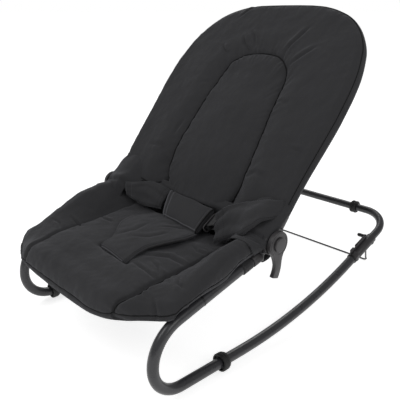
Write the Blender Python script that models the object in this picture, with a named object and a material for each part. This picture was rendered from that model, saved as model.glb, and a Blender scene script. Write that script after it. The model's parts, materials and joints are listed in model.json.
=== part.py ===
"""Baby bouncer: bent steel tube base, reclining back and a padded cover.

Metres, +Z up, the open seat end towards -Y, the child's left hand towards +X.
Profiles are laid out in the side view from the lowest bend's datum, with
the floor at z = 0, and every solid is moved to the object's middle at the end.
"""
import math

import bmesh
import bpy
from mathutils import Matrix, Vector

# Fits
GAP = 0.0003            # between faces that touch
FABRIC_GAP = 0.0006     # between the cover and the tubes inside it

# Side tubes
TRACK = 0.405           # between the centre lines of the two side tubes
RAIL_D = 0.018
RAIL_WALL = 0.0012
FOOT_RING_D = 0.031     # the side tubes ride this high on their rubber rings
FRONT_Y = -0.1422       # foremost point of the centre line
FRONT_LOW_R = 0.0537
FRONT_HIGH_R = 0.066
SEAT_SLOPE = math.radians(15.5)
FLAT_END_Y = 0.042      # the flat stretch ends here
ROCKER_R = 0.876
ROCKER_RISE = math.radians(21)
RAIL_TAIL = 0.0172      # straight stretch behind the rocker curve
RISER = 0.0486          # from the front bend to the splice
SPLICE_RING_W = 0.003
SPLICE_HALF = 0.028     # half length of the sleeve inside the splice

# Rail joints and rear tube
JOINT_LEN = 0.075
JOINT_D = 0.0205
JOINT_RING_W = 0.003
SPIGOT_LEN = 0.026
SOCKET_DEPTH = 0.030
REAR_D = 0.016
REAR_WALL = 0.0012
REAR_Y = 0.5135         # centre line of the rear bar
REAR_BEND_R = 0.058
RIB_TOP = 0.0166        # above the joint's axis
RIB_T = 0.004
RIB_IN = 0.004          # the rib stands this far inside the joint's axis
NOTCH_AT = 0.019
NOTCH_W = 0.0065
NOTCH_DEPTH = 0.005
FOOT_RING_W = 0.0155
FOOT_NEAR_Y = 0.0
FOOT_FAR_Y = -0.0840
BUMPER_D = 0.027
BUMPER_W = 0.013
BUMPER_X = 0.114

# Wire stand
PIVOT = Vector((0.457, 0.0965))
STAND_WIRE_D = 0.004
STAND_FOOT = Vector((0.539, 0.0021))
STAND_TOP_X = 0.179
STAND_FOOT_X = 0.149
STAND_CORNER_R = 0.011
EYE_D = 0.0098
EYE_T = 0.0042
PEG_D = 0.0078
PEG_END_X = 0.163
STAND_PIN_D = 0.0040
LUG_R = 0.0065

# Recline hinges
AXIS = Vector((0.0925, 0.2055))
HOUSING_R = 0.023
HOUSING_IN_X = 0.1900
HOUSING_OUT_X = 0.2065
MOVING_R = 0.0215
MOVING_IN_X = 0.2072
MOVING_OUT_X = 0.2222
LEVER_IN_X = 0.2266
LEVER_OUT_X = 0.2352
LEVER_R = 0.0215
LEVER_LEN = 0.0595
LEVER_TURN = math.radians(30)
CAP_R = 0.0125
CAP_T = 0.0026
AXLE_D = 0.006
GEAR_TEETH = 24
GEAR_TIP_R = 0.0128
GEAR_ROOT_R = 0.0112
GEAR_IN_X = 0.2007
GEAR_T = 0.0100
CONE_BASE_R = 0.0106    # friction cone in front of the splined part
CONE_TIP_R = 0.0094
CONE_PLAY = 0.0003
GEAR_TRAVEL = 0.0040
CAVITY_IN_X = 0.1932
HUB_R = 0.0072
SPRING_R = 0.0078
SPRING_WIRE = 0.0010
STOP_ANGLE = math.radians(-62)
STOP_HALF = math.radians(5)
SEAT_SOCKET_D = 0.0225
SEAT_TUBE_END = 0.128   # along the seat tube from the splice
SEAT_SOCKET_START = 0.111
BACK_SOCKET_D = 0.0205
BACK_SOCKET = (0.026, 0.050)
RECLINE = math.radians(30)

# Back
BACK_ANGLE = math.radians(50.5)
BACK_TUBE_D = 0.016
BACK_TUBE_X = 0.2147
BACK_TUBE_TOP = 0.4480
BACK_CORNER_R = 0.140
BACK_TOP = 0.4612       # outline, along the back from the hinge
BACK_WIDEST = 0.290
BACK_HALF = 0.2310
BACK_LOW_HALF = 0.2235
BACK_ROLL = 0.0125      # rounding of the padded edge
BACK_START = 0.0280
BACK_PUFF = 0.0158      # height of the side panels in front of the tube
OVAL_TOP = 0.346
# Heights in front of the tube's plane: at the rolled edge and along the oval's seam
RIM_FRONT = [(0.028, -0.0020), (0.100, 0.0000), (0.210, -0.0046), (0.300, -0.0046),
             (0.362, -0.0030), (0.420, 0.0030), (0.4614, 0.0070)]
OVAL_FRONT = [(0.004, -0.0130), (0.039, -0.0110), (0.059, -0.0030), (0.086, 0.0000),
              (0.126, 0.0035), (0.175, 0.0050), (0.228, 0.0060), (0.268, 0.0040),
              (0.295, 0.0030), (0.314, 0.0050), (0.346, 0.0070)]

# Seat
SEAM_X = 0.141
BOLSTER_X = 0.193
SEAT_HALF = 0.2170
HEM_X = 0.2107          # the hem stands over the outer side of the tube
PAD_T = 0.014
BOW_D = 0.008
BOW = Vector((-0.1480, 0.1250))
LOOP_AT = 0.098         # cover loops, along the seat tube
LOOP_W = 0.020
LOOP_T = 0.0014

CREASE_HALF = 0.172
CREASE_BEHIND = -0.0122
SAG = 0.009             # of the seat's middle, towards the crease

# Small belts
STRAP_W = 0.032
STRAP_T = 0.0022
BELT_T = 0.009
ROLL_ENDS = (Vector((-0.052, 0.0930, 0.2120)), Vector((0.052, 0.1060, 0.1865)))
WING_END = Vector((0.1905, 0.0776, 0.2530))
WING_WIDE = Vector((0, 0.70, 0.71)).normalized()
STRAP_DIR = Vector((0.87, -0.30, 0.39)).normalized()
STRAP_WIDE = Vector((0, 0.85, 0.53))
BUCKLE_W = 0.041
BUCKLE_T = 0.0075
BUCKLE_AT = 0.0105
LOOP_START = 0.0088
STRAP_TOP_END = 0.0670
STRAP_UNDER_END = 0.0560

HALF = TRACK / 2
RIDE = FOOT_RING_D / 2
FRONT_Z = RIDE + FRONT_LOW_R
LOW_CENTRE = Vector((FRONT_Y + FRONT_LOW_R, FRONT_Z))
HIGH_CENTRE = Vector((FRONT_Y + FRONT_HIGH_R, FRONT_Z))
RISER_DIR = Vector((math.cos(SEAT_SLOPE), math.sin(SEAT_SLOPE)))
RISER_UP = Vector((-math.sin(SEAT_SLOPE), math.cos(SEAT_SLOPE)))
SPLICE = HIGH_CENTRE + RISER_UP * FRONT_HIGH_R + RISER_DIR * RISER
RAIL_DIR = Vector((math.cos(ROCKER_RISE), math.sin(ROCKER_RISE)))
RAIL_UP = Vector((-math.sin(ROCKER_RISE), math.cos(ROCKER_RISE)))
ROCKER_CENTRE = Vector((FLAT_END_Y, RIDE + ROCKER_R))
JOINT_START = ROCKER_CENTRE - RAIL_UP * ROCKER_R + RAIL_DIR * RAIL_TAIL
BACK_DIR = Vector((math.cos(BACK_ANGLE), math.sin(BACK_ANGLE)))
BACK_FRONT = Vector((-math.sin(BACK_ANGLE), math.cos(BACK_ANGLE)))
SEAT_FRONT_Y = -0.1713
STAND_REAR_Y = STAND_FOOT.x + STAND_WIRE_D / 2
ORIGIN_Y = (SEAT_FRONT_Y + STAND_REAR_Y) / 2
SIDES = {"left": 1, "right": -1}

PALETTE = {
    "tube_paint": ((0.040, 0.040, 0.046), 0.6, 0.42),
    "zinc_steel": ((0.42, 0.43, 0.44), 0.9, 0.40),
    "hinge_plastic": ((0.060, 0.056, 0.058), 0.0, 0.48),
    "black_plastic": ((0.018, 0.018, 0.020), 0.0, 0.40),
    "black_rubber": ((0.014, 0.014, 0.014), 0.0, 0.75),
    "cover_fabric": ((0.036, 0.036, 0.040), 0.0, 0.90),
    "strap_webbing": ((0.026, 0.026, 0.028), 0.0, 0.85),
}


def clear_scene():
    for item in list(bpy.data.objects):
        bpy.data.objects.remove(item, do_unlink=True)


def make_materials():
    made = {}
    for name, (colour, metal, rough) in PALETTE.items():
        mat = bpy.data.materials.new(name)
        mat.use_nodes = True
        mat.diffuse_color = (*colour, 1)
        shader = mat.node_tree.nodes["Principled BSDF"]
        shader.inputs["Base Color"].default_value = (*colour, 1)
        shader.inputs["Metallic"].default_value = metal
        shader.inputs["Roughness"].default_value = rough
        made[name] = mat
    return made


def side_point(x, flat):
    """A point at x whose (y, z) is given in the side view"""
    return Vector((x, flat.x, flat.y))


def arc(centre, radius, start, end, steps):
    """Points of an arc in the side view, angles from +y towards +z"""
    points = []
    for i in range(steps + 1):
        angle = start + (end - start) * i / steps
        points.append(centre + Vector((math.cos(angle), math.sin(angle))) * radius)
    return points


def build(verts, faces):
    """A closed mesh with its faces turned outwards"""
    mesh = bpy.data.meshes.new("solid")
    mesh.from_pydata([tuple(v) for v in verts], [], faces)
    shape = bmesh.new()
    shape.from_mesh(mesh)
    bmesh.ops.remove_doubles(shape, verts=shape.verts, dist=1e-7)
    bmesh.ops.recalc_face_normals(shape, faces=shape.faces)
    if shape.calc_volume(signed=True) < 0:
        bmesh.ops.reverse_faces(shape, faces=shape.faces)
    shape.to_mesh(mesh)
    shape.free()
    return mesh


def rings_to_solid(rings, looped=False):
    """Skin equal rings; the ends are capped unless the rings close up"""
    verts = [point for ring in rings for point in ring]
    size = len(rings[0])
    count = len(rings)
    faces = []
    for i in range(count if looped else count - 1):
        j = (i + 1) % count
        for k in range(size):
            n = (k + 1) % size
            faces.append((i * size + k, i * size + n, j * size + n, j * size + k))
    if not looped:
        faces.append(tuple(range(size)))
        faces.append(tuple((count - 1) * size + k for k in range(size)))
    return build(verts, faces)


def path_rings(path, normal, radius, sides):
    """Rings round a path that lies in the plane of the given normal"""
    rings = []
    for i, point in enumerate(path):
        ahead = path[min(i + 1, len(path) - 1)] - point
        behind = point - path[max(i - 1, 0)]
        along = (ahead.normalized() + behind.normalized()).normalized()
        across = normal.cross(along).normalized()
        bend = ahead.angle(behind, 0) if ahead.length and behind.length else 0
        stretch = 1 / math.cos(bend / 2)
        ring = []
        for k in range(sides):
            angle = 2 * math.pi * (k + 0.5) / sides
            ring.append(point + normal * math.cos(angle) * radius
                        + across * math.sin(angle) * radius * stretch)
        rings.append(ring)
    return rings


def bar(path, normal, radius, sides):
    """A solid round bar"""
    return rings_to_solid(path_rings(path, normal, radius, sides))


def pipe(path, normal, outer, wall, sides, inner_sides):
    """A round tube with open ends"""
    outside = path_rings(path, normal, outer, sides)
    inside = path_rings(path, normal, outer - wall, inner_sides)
    verts = [p for ring in outside for p in ring] + [p for ring in inside for p in ring]
    faces = []
    count = len(path)
    base = count * sides
    for i in range(count - 1):
        for k in range(sides):
            n = (k + 1) % sides
            faces.append((i * sides + k, i * sides + n,
                          (i + 1) * sides + n, (i + 1) * sides + k))
        for k in range(inner_sides):
            n = (k + 1) % inner_sides
            faces.append((base + i * inner_sides + k, base + (i + 1) * inner_sides + k,
                          base + (i + 1) * inner_sides + n, base + i * inner_sides + n))
    step = sides // inner_sides
    for end in (0, count - 1):
        for k in range(inner_sides):
            n = (k + 1) % inner_sides
            rim = [end * sides + (k * step + step // 2 + m) % sides
                   for m in range(step + 1)]
            faces.append((*rim, base + end * inner_sides + n, base + end * inner_sides + k))
    return build(verts, faces)


def turned(profile, centre, axis, sides, ring=False, turn=0.0):
    """Turn (along, radius) points about an axis; a ring's profile is closed"""
    along = axis.normalized()
    first = along.orthogonal().normalized()
    if abs(along.x) < 0.5:
        first = Vector((1, 0, 0))
    else:
        first = Vector((0, 0, 1))
    second = along.cross(first).normalized()
    first = second.cross(along).normalized()
    rings = []
    for offset, radius in profile:
        points = []
        for k in range(sides):
            angle = 2 * math.pi * (k + 0.5) / sides + turn
            points.append(centre + along * offset + (first * math.cos(angle)
                          + second * math.sin(angle)) * radius)
        rings.append(points)
    return rings_to_solid(rings, looped=ring)


def plate(outline, low_x, high_x):
    """A side-view outline drawn out across x"""
    return rings_to_solid([[side_point(x, p) for p in outline] for x in (low_x, high_x)])


def box(low, high):
    corners = [Vector((low[0], y, z)) for y, z in
               ((low[1], low[2]), (high[1], low[2]), (high[1], high[2]), (low[1], high[2]))]
    return rings_to_solid([corners, [Vector((high[0], c.y, c.z)) for c in corners]])


def combine(mesh, tool, operation):
    """Join, cut or keep the common part of two closed meshes"""
    body = bpy.data.objects.new("body", mesh)
    other = bpy.data.objects.new("tool", tool)
    for item in (body, other):
        bpy.context.scene.collection.objects.link(item)
    step = body.modifiers.new("step", "BOOLEAN")
    step.operation = operation
    step.solver = "EXACT"
    step.object = other
    graph = bpy.context.evaluated_depsgraph_get()
    graph.update()
    result = bpy.data.meshes.new_from_object(body.evaluated_get(graph))
    for item in (body, other):
        bpy.data.objects.remove(item, do_unlink=True)
    return result


def joined(*meshes):
    result = meshes[0]
    for mesh in meshes[1:]:
        result = combine(result, mesh, "UNION")
    return result


def cut(mesh, *tools):
    for tool in tools:
        mesh = combine(mesh, tool, "DIFFERENCE")
    return mesh


def tidy(mesh):
    """Merge slivers left by a cut and keep the faces outward"""
    shape = bmesh.new()
    shape.from_mesh(mesh)
    bmesh.ops.remove_doubles(shape, verts=shape.verts, dist=1e-5)
    bmesh.ops.dissolve_degenerate(shape, edges=shape.edges, dist=1e-6)
    bmesh.ops.triangulate(shape, faces=shape.faces)
    bmesh.ops.recalc_face_normals(shape, faces=shape.faces)
    if shape.calc_volume(signed=True) < 0:
        bmesh.ops.reverse_faces(shape, faces=shape.faces)
    shape.to_mesh(mesh)
    shape.free()
    return mesh


def place(name, mesh, material, pivot=None):
    """Add one named solid, its origin on its pivot (y, z) where it moves"""
    mesh = tidy(mesh)
    mesh.name = name
    shift = Vector((0, -ORIGIN_Y, 0))
    home = Vector((0, 0, 0))
    if pivot is not None:
        home = side_point(0, pivot) + shift
    mesh.transform(Matrix.Translation(shift - home))
    mesh.materials.clear()
    mesh.materials.append(material)
    item = bpy.data.objects.new(name, mesh)
    item.location = home
    bpy.context.scene.collection.objects.link(item)
    return item


def rail_point(x, along, up):
    return side_point(x, JOINT_START + RAIL_DIR * along + RAIL_UP * up)


def back_point(x, along, front=0.0):
    return side_point(x, AXIS + BACK_DIR * along + BACK_FRONT * front)


def seat_tube_point(along, up=0.0):
    return SPLICE + RISER_DIR * along + RISER_UP * up


def side_tube_path():
    """Side view of the centre line, from the splice to the rail joint"""
    path = [SPLICE - RISER_DIR * SPLICE_RING_W / 2]
    path += arc(HIGH_CENTRE, FRONT_HIGH_R, math.pi / 2 + SEAT_SLOPE, math.pi, 6)
    path += arc(LOW_CENTRE, FRONT_LOW_R, math.pi, 1.5 * math.pi, 7)[1:]
    path += arc(ROCKER_CENTRE, ROCKER_R, 1.5 * math.pi, 1.5 * math.pi + ROCKER_RISE, 5)
    path.append(JOINT_START - RAIL_DIR * (JOINT_RING_W + GAP))
    return path


def make_side_tubes(mats):
    across = Vector((1, 0, 0))
    sleeve_r = RAIL_D / 2 - RAIL_WALL - GAP * 1.3
    for name, sign in SIDES.items():
        x = sign * HALF
        path = [side_point(x, p) for p in side_tube_path()]
        place("side_tube_" + name, pipe(path, across, RAIL_D / 2, RAIL_WALL, 12, 6),
              mats["tube_paint"])
        ends = (SPLICE_RING_W / 2, SEAT_TUBE_END)
        path = [side_point(x, seat_tube_point(s)) for s in ends]
        place("seat_tube_" + name, pipe(path, across, RAIL_D / 2, RAIL_WALL, 12, 6),
              mats["tube_paint"])
        path = [side_point(x, seat_tube_point(s)) for s in (-SPLICE_HALF, SPLICE_HALF)]
        place("splice_sleeve_" + name, bar(path, across, sleeve_r, 6), mats["black_plastic"])
        half = SPLICE_RING_W / 2 - GAP
        inner = sleeve_r + GAP * 2
        outer = RAIL_D / 2 + 0.0004
        profile = [(-half, inner), (-half, outer), (half, outer), (half, inner)]
        place("splice_ring_" + name,
              turned(profile, side_point(x, SPLICE), side_point(0, RISER_DIR), 14, ring=True),
              mats["black_plastic"])


def foot_ring_profile():
    """Rubber ring with a hollow front end and a tapered rear end"""
    half = FOOT_RING_W / 2
    bore = RAIL_D / 2 + GAP
    outer = FOOT_RING_D / 2
    recess = bore + 0.0032
    return [(-half, recess), (-half, outer - 0.0010), (-half + 0.0012, outer),
            (half - 0.0050, outer), (half - 0.0012, outer - 0.0020),
            (half, outer - 0.0034), (half, bore), (-half + 0.0040, bore),
            (-half + 0.0034, recess)]


def make_rings(mats):
    for name, y in (("left", FOOT_NEAR_Y), ("right", FOOT_FAR_Y)):
        centre = side_point(SIDES[name] * HALF, Vector((y, RIDE)))
        place("foot_ring_" + name,
              turned(foot_ring_profile(), centre, Vector((0, 1, 0)), 20, ring=True,
                     turn=math.pi / 20),
              mats["black_rubber"])
    half = BUMPER_W / 2
    bore = REAR_D / 2 + GAP
    outer = BUMPER_D / 2
    waist = outer - 0.0018
    profile = [(-half, bore), (-half, outer - 0.0014), (-half + 0.0014, outer),
               (-0.0022, outer), (0, waist), (0.0022, outer),
               (half - 0.0014, outer), (half, outer - 0.0014), (half, bore)]
    centre = rear_bar_centre()
    for name, sign in SIDES.items():
        place("bumper_ring_" + name,
              turned(profile, side_point(sign * BUMPER_X, centre), Vector((1, 0, 0)), 16,
                     ring=True),
              mats["black_rubber"])


def rear_bar_centre():
    along = (REAR_Y - JOINT_START.x) / RAIL_DIR.x
    return JOINT_START + RAIL_DIR * along


def make_rear_tube(mats):
    """Centre line: (x, distance along the rails from the joint's front end)"""
    normal = side_point(0, RAIL_UP)
    bar_at = (REAR_Y - JOINT_START.x) / RAIL_DIR.x
    start = JOINT_LEN - SOCKET_DEPTH + GAP
    corner = Vector((HALF - REAR_BEND_R, bar_at - REAR_BEND_R))
    flat = [Vector((HALF, start))]
    for p in arc(corner, REAR_BEND_R, 0, math.pi / 2, 8):
        flat.append(p)
    flat += [Vector((-p.x, p.y)) for p in reversed(flat)]
    path = [rail_point(p.x, p.y, 0) for p in flat]
    place("rear_tube", pipe(path, normal, REAR_D / 2, REAR_WALL, 12, 6), mats["tube_paint"])


def make_rail_joints(mats):
    axis = side_point(0, RAIL_DIR)
    across = Vector((1, 0, 0))
    spigot = RAIL_D / 2 - RAIL_WALL - GAP * 1.3
    body = JOINT_D / 2
    lug = (PIVOT - JOINT_START)
    lug = Vector((lug.dot(RAIL_DIR), lug.dot(RAIL_UP)))
    for name, sign in SIDES.items():
        x = sign * HALF
        inner = x - sign * body
        shell = turned([(0, body - 0.0006), (0.0006, body), (JOINT_LEN - 0.0012, body),
                        (JOINT_LEN, body - 0.0010)],
                       rail_point(x, 0, 0), axis, 16)
        plug = bar([rail_point(x, -SPIGOT_LEN, 0), rail_point(x, 0.010, 0)], across, spigot, 6)
        rib = [(0.002, 0.004), (0.005, RIB_TOP), (NOTCH_AT - NOTCH_W / 2, RIB_TOP),
               (NOTCH_AT - NOTCH_W / 2, RIB_TOP - NOTCH_DEPTH),
               (NOTCH_AT + NOTCH_W / 2, RIB_TOP - NOTCH_DEPTH),
               (NOTCH_AT + NOTCH_W / 2, RIB_TOP), (0.056, RIB_TOP), (0.068, 0.004)]
        outline = [JOINT_START + RAIL_DIR * a + RAIL_UP * b for a, b in rib]
        rib_x = x - sign * RIB_IN
        fin = plate(outline, min(rib_x - RIB_T / 2, rib_x + RIB_T / 2),
                    max(rib_x - RIB_T / 2, rib_x + RIB_T / 2))
        arm = [Vector((0.050, -0.006))]
        for p in arc(lug, LUG_R, math.radians(-100), math.radians(70), 8):
            arm.append(p)
        arm.append(Vector((JOINT_LEN - 0.002, -0.0045)))
        outline = [JOINT_START + RAIL_DIR * p.x + RAIL_UP * p.y for p in arm]
        thick = sign * 0.006
        lug_plate = plate(outline, min(inner, inner + thick), max(inner, inner + thick))
        eye_side = sign * (STAND_TOP_X + EYE_T / 2 + GAP)
        boss = turned([(0, PEG_D / 2), (abs(inner - eye_side) + 0.002, PEG_D / 2)],
                      side_point(eye_side, PIVOT), Vector((sign, 0, 0)), 16)
        stop_dir = (STAND_FOOT - PIVOT).normalized()
        stop_up = Vector((-stop_dir.y, stop_dir.x))
        stop = [PIVOT + stop_dir * s + stop_up * u for s, u in
                ((-0.002, 0.0030), (0.0150, STAND_WIRE_D / 2 + GAP),
                 (0.0150, 0.0055), (0.004, 0.0075), (-0.002, 0.0060))]
        stop[0] = PIVOT + stop_dir * 0.0055 + stop_up * (STAND_WIRE_D / 2 + GAP)
        stop[-1] = PIVOT + stop_dir * 0.0005 + stop_up * (EYE_D / 2 + 0.0006)
        stop_x = sign * (STAND_TOP_X - 0.001)
        shelf = plate(stop, min(stop_x, inner + thick / 2), max(stop_x, inner + thick / 2))
        mesh = joined(shell, plug, fin, lug_plate, boss, shelf)
        socket = turned([(JOINT_LEN - SOCKET_DEPTH, REAR_D / 2 + GAP),
                         (JOINT_LEN + 0.012, REAR_D / 2 + GAP)],
                        rail_point(x, 0, 0), axis, 16)
        pin_bore = turned([(-0.03, STAND_PIN_D / 2 + GAP), (0.05, STAND_PIN_D / 2 + GAP)],
                          side_point(eye_side, PIVOT), Vector((sign, 0, 0)), 12)
        mesh = cut(mesh, socket, pin_bore)
        for at in SCREWS:
            mesh = cut(mesh, screw_bore(sign, at))
        place("rail_joint_" + name, mesh, mats["hinge_plastic"])
        half = JOINT_RING_W / 2
        bore = spigot + GAP * 2
        profile = [(-half, bore), (-half, RAIL_D / 2 + 0.0010), (half - 0.0004, body + 0.0004),
                   (half, body), (half, bore)]
        place("joint_ring_" + name,
              turned(profile, rail_point(x, -half - GAP / 2, 0), axis, 16, ring=True),
              mats["black_rubber"])
        for number, at in enumerate(SCREWS, start=1):
            place(f"joint_screw_{name}_{number}", screw(sign, at), mats["black_plastic"])
        head = inner + thick + sign * GAP
        tip = sign * (PEG_END_X + 0.003)
        profile = [(0, 0.0034), (0.0016, 0.0034), (0.0022, 0.0026)]
        pin_head = turned(profile, side_point(head, PIVOT), Vector((sign, 0, 0)), 14)
        shank = turned([(0, STAND_PIN_D / 2), (abs(head - tip) + 0.0005, STAND_PIN_D / 2)],
                       side_point(tip, PIVOT), Vector((sign, 0, 0)), 12)
        place("stand_pin_" + name, joined(pin_head, shank), mats["zinc_steel"])
        cap_end = sign * (STAND_TOP_X - EYE_T / 2 - GAP)
        length = abs(cap_end) - PEG_END_X
        knob = turned([(0, PEG_D / 2), (length - 0.0012, PEG_D / 2),
                       (length, PEG_D / 2 - 0.0012)],
                      side_point(cap_end, PIVOT), Vector((-sign, 0, 0)), 16)
        hole = turned([(-0.001, STAND_PIN_D / 2 + GAP),
                       (abs(cap_end - tip) + GAP, STAND_PIN_D / 2 + GAP)],
                      side_point(cap_end, PIVOT), Vector((-sign, 0, 0)), 12)
        place("stand_cap_" + name, cut(knob, hole), mats["black_plastic"])


SCREWS = (0.0062, 0.0640)


def screw_frame(sign, at):
    """Screws enter low on the joint's outer side, square to its axis"""
    lean = math.radians(35)
    out = side_point(0, RAIL_UP) * -math.sin(lean) + Vector((sign * math.cos(lean), 0, 0))
    return rail_point(sign * HALF, at, 0), out


def screw_bore(sign, at):
    centre, out = screw_frame(sign, at)
    depth = screw_depth(at)
    return turned([(depth - GAP, 0.0018), (JOINT_D / 2 - 0.0012, 0.0018),
                   (JOINT_D / 2 - 0.0010, 0.0036), (JOINT_D / 2 + 0.004, 0.0036)],
                  centre, out, 12)


def screw_depth(at):
    """The front screw is deep, the rear one stops outside the rear tube"""
    if at < JOINT_LEN / 2:
        return 0.002
    return REAR_D / 2 + 0.0009


def screw(sign, at):
    centre, out = screw_frame(sign, at)
    depth = screw_depth(at)
    top = JOINT_D / 2 + 0.0010
    return turned([(depth, 0.0015), (JOINT_D / 2 - 0.0007, 0.0015),
                   (JOINT_D / 2 - 0.0007 + 0.0001, 0.0033), (top - 0.0006, 0.0033),
                   (top, 0.0024)],
                  centre, out, 12)


def make_stand(mats):
    """One wire: an eye, an arm, the foot bar, an arm and an eye"""
    down = STAND_FOOT - PIVOT
    length = down.length
    down = down.normalized()
    normal = side_point(0, Vector((-down.y, down.x)))
    corner = Vector((STAND_FOOT_X, length))
    top = Vector((STAND_TOP_X, 0.0032))
    lean = (corner - top).normalized()
    swing = math.atan2(lean.y, -lean.x)
    tangent = STAND_CORNER_R * math.tan((math.pi - swing) / 2)
    first = corner - lean * tangent
    centre = Vector((corner.x - tangent, length - STAND_CORNER_R))
    start = math.atan2(first.y - centre.y, first.x - centre.x)
    flat = [top] + arc(centre, STAND_CORNER_R, start, math.pi / 2, 7)
    flat += [Vector((-p.x, p.y)) for p in reversed(flat)]
    path = [side_point(p.x, PIVOT + down * p.y) for p in flat]
    wire = bar(path, normal, STAND_WIRE_D / 2, 8)
    pieces = [wire]
    for sign in SIDES.values():
        pieces.append(turned([(-EYE_T / 2, EYE_D / 2), (EYE_T / 2, EYE_D / 2)],
                             side_point(sign * STAND_TOP_X, PIVOT), Vector((1, 0, 0)), 16))
    mesh = joined(*pieces)
    for sign in SIDES.values():
        mesh = cut(mesh, turned([(-0.01, STAND_PIN_D / 2 + GAP), (0.01, STAND_PIN_D / 2 + GAP)],
                                side_point(sign * STAND_TOP_X, PIVOT), Vector((1, 0, 0)), 12))
    place("stand_wire", mesh, mats["tube_paint"], PIVOT)


def toothed(tip, root, low_x, high_x, spread=0.0):
    """Prism with pointed teeth about the recline axis; spread widens it"""
    outline = []
    pitch = math.pi / GEAR_TEETH
    for k in range(2 * GEAR_TEETH):
        radius = (tip if k % 2 == 0 else root) + spread
        angle = k * pitch
        outline.append(AXIS + Vector((math.cos(angle), math.sin(angle))) * radius)
    return plate(outline, low_x, high_x)


def cam_height(angle, late):
    """Share of the full travel round the cam, three ramps a turn"""
    turn = math.degrees(angle) % 120
    rise = math.degrees(LEVER_TURN)
    if turn <= rise:
        return turn / rise
    if turn <= 60 + late:
        return 1.0
    if turn <= 64 + late:
        return (64 + late - turn) / 4
    return 0.0


def cam_solid(sign, inner, outer, base_x, tip_x, offset=0.0, late=0):
    """Ring about the recline axis whose inward end carries the three ramps"""
    degrees = []
    for start in (0, 120, 240):
        degrees += [start + d for d in (0, 10, 20, 30, 45, 60 + late, 64 + late, 86, 103)]
    base, end, base_in, end_in = [], [], [], []
    for d in degrees:
        angle = -math.radians(d)
        share = cam_height(math.radians(d) + (1e-9 if d % 120 == 0 else 0), late)
        place_x = sign * (tip_x - share * GEAR_TRAVEL - offset)
        spoke = Vector((math.cos(angle), math.sin(angle)))
        base.append(side_point(sign * base_x, AXIS + spoke * outer))
        end.append(side_point(place_x, AXIS + spoke * outer))
        end_in.append(side_point(place_x, AXIS + spoke * inner))
        base_in.append(side_point(sign * base_x, AXIS + spoke * inner))
    return rings_to_solid([base, end, end_in, base_in], looped=True)


def lever_outline():
    """Disc with a handle that hangs down and narrows to a round tip"""
    points = arc(AXIS, LEVER_R, math.radians(-52), math.radians(232), 22)
    tip = AXIS + Vector((-0.0010, -(LEVER_LEN - 0.0045)))
    points.append(AXIS + Vector((-0.0086, -0.0300)))
    points.append(AXIS + Vector((-0.0068, -0.0430)))
    points += arc(tip, 0.0050, math.radians(175), math.radians(365), 6)
    points.append(AXIS + Vector((0.0062, -0.0430)))
    points.append(AXIS + Vector((0.0084, -0.0290)))
    return points


def make_hinges(mats):
    for name, sign in SIDES.items():
        make_housing(name, sign, mats)
        make_moving_half(name, sign, mats)
        make_lever(name, sign, mats)
        make_lock(name, sign, mats)


def make_housing(name, sign, mats):
    """Fixed half: splined cavity, stop lug and the socket of the seat tube"""
    x_axis = Vector((sign, 0, 0))
    tube_axis = side_point(0, RISER_DIR)
    disc = turned([(0, HOUSING_R - 0.0015), (0.0015, HOUSING_R),
                   (HOUSING_OUT_X - HOUSING_IN_X, HOUSING_R)],
                  side_point(sign * HOUSING_IN_X, AXIS), x_axis, 24)
    mid = seat_tube_point(SEAT_SOCKET_START)
    socket = turned([(0, SEAT_SOCKET_D / 2 - 0.001), (0.001, SEAT_SOCKET_D / 2),
                     (SEAT_TUBE_END - SEAT_SOCKET_START + 0.0022, SEAT_SOCKET_D / 2)],
                    side_point(sign * HALF, mid), tube_axis, 16)
    neck = [seat_tube_point(SEAT_SOCKET_START + 0.006, 0.008),
            seat_tube_point(SEAT_SOCKET_START + 0.006, -0.008),
            seat_tube_point(SEAT_TUBE_END, -0.0105),
            seat_tube_point(SEAT_TUBE_END + 0.004, -0.0140),
            seat_tube_point(SEAT_TUBE_END + 0.010, -0.0140),
            seat_tube_point(SEAT_TUBE_END + 0.012, -0.006),
            AXIS + Vector((0.018, -0.010)),
            AXIS + Vector((-0.016, 0.006))]
    neck = plate(neck, min(sign * 0.1935, sign * HOUSING_OUT_X),
                 max(sign * 0.1935, sign * HOUSING_OUT_X))
    lug_r = (MOVING_R - 0.0036, HOUSING_R - 0.0004)
    lug = arc(AXIS, lug_r[0], STOP_ANGLE - STOP_HALF, STOP_ANGLE + STOP_HALF, 2)
    lug += arc(AXIS, lug_r[1], STOP_ANGLE + STOP_HALF, STOP_ANGLE - STOP_HALF, 2)
    lug = plate(lug, min(sign * (HOUSING_OUT_X - 0.002), sign * (MOVING_IN_X + 0.005)),
                max(sign * (HOUSING_OUT_X - 0.002), sign * (MOVING_IN_X + 0.005)))
    mesh = joined(disc, socket, neck, lug)
    bore = turned([(-0.01, RAIL_D / 2 + GAP),
                   (SEAT_TUBE_END - SEAT_SOCKET_START + GAP, RAIL_D / 2 + GAP)],
                  side_point(sign * HALF, mid), tube_axis, 16)
    low, high = sorted((sign * CAVITY_IN_X, sign * (HOUSING_OUT_X + 0.002)))
    cavity = toothed(GEAR_TIP_R, GEAR_ROOT_R, low, high, GAP * 1.6)
    axle = turned([(-0.02, AXLE_D / 2 + GAP), (0.02, AXLE_D / 2 + GAP)],
                  side_point(sign * HOUSING_IN_X, AXIS), x_axis, 14)
    place("hinge_housing_" + name, cut(mesh, bore, cavity, axle), mats["hinge_plastic"])


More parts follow.
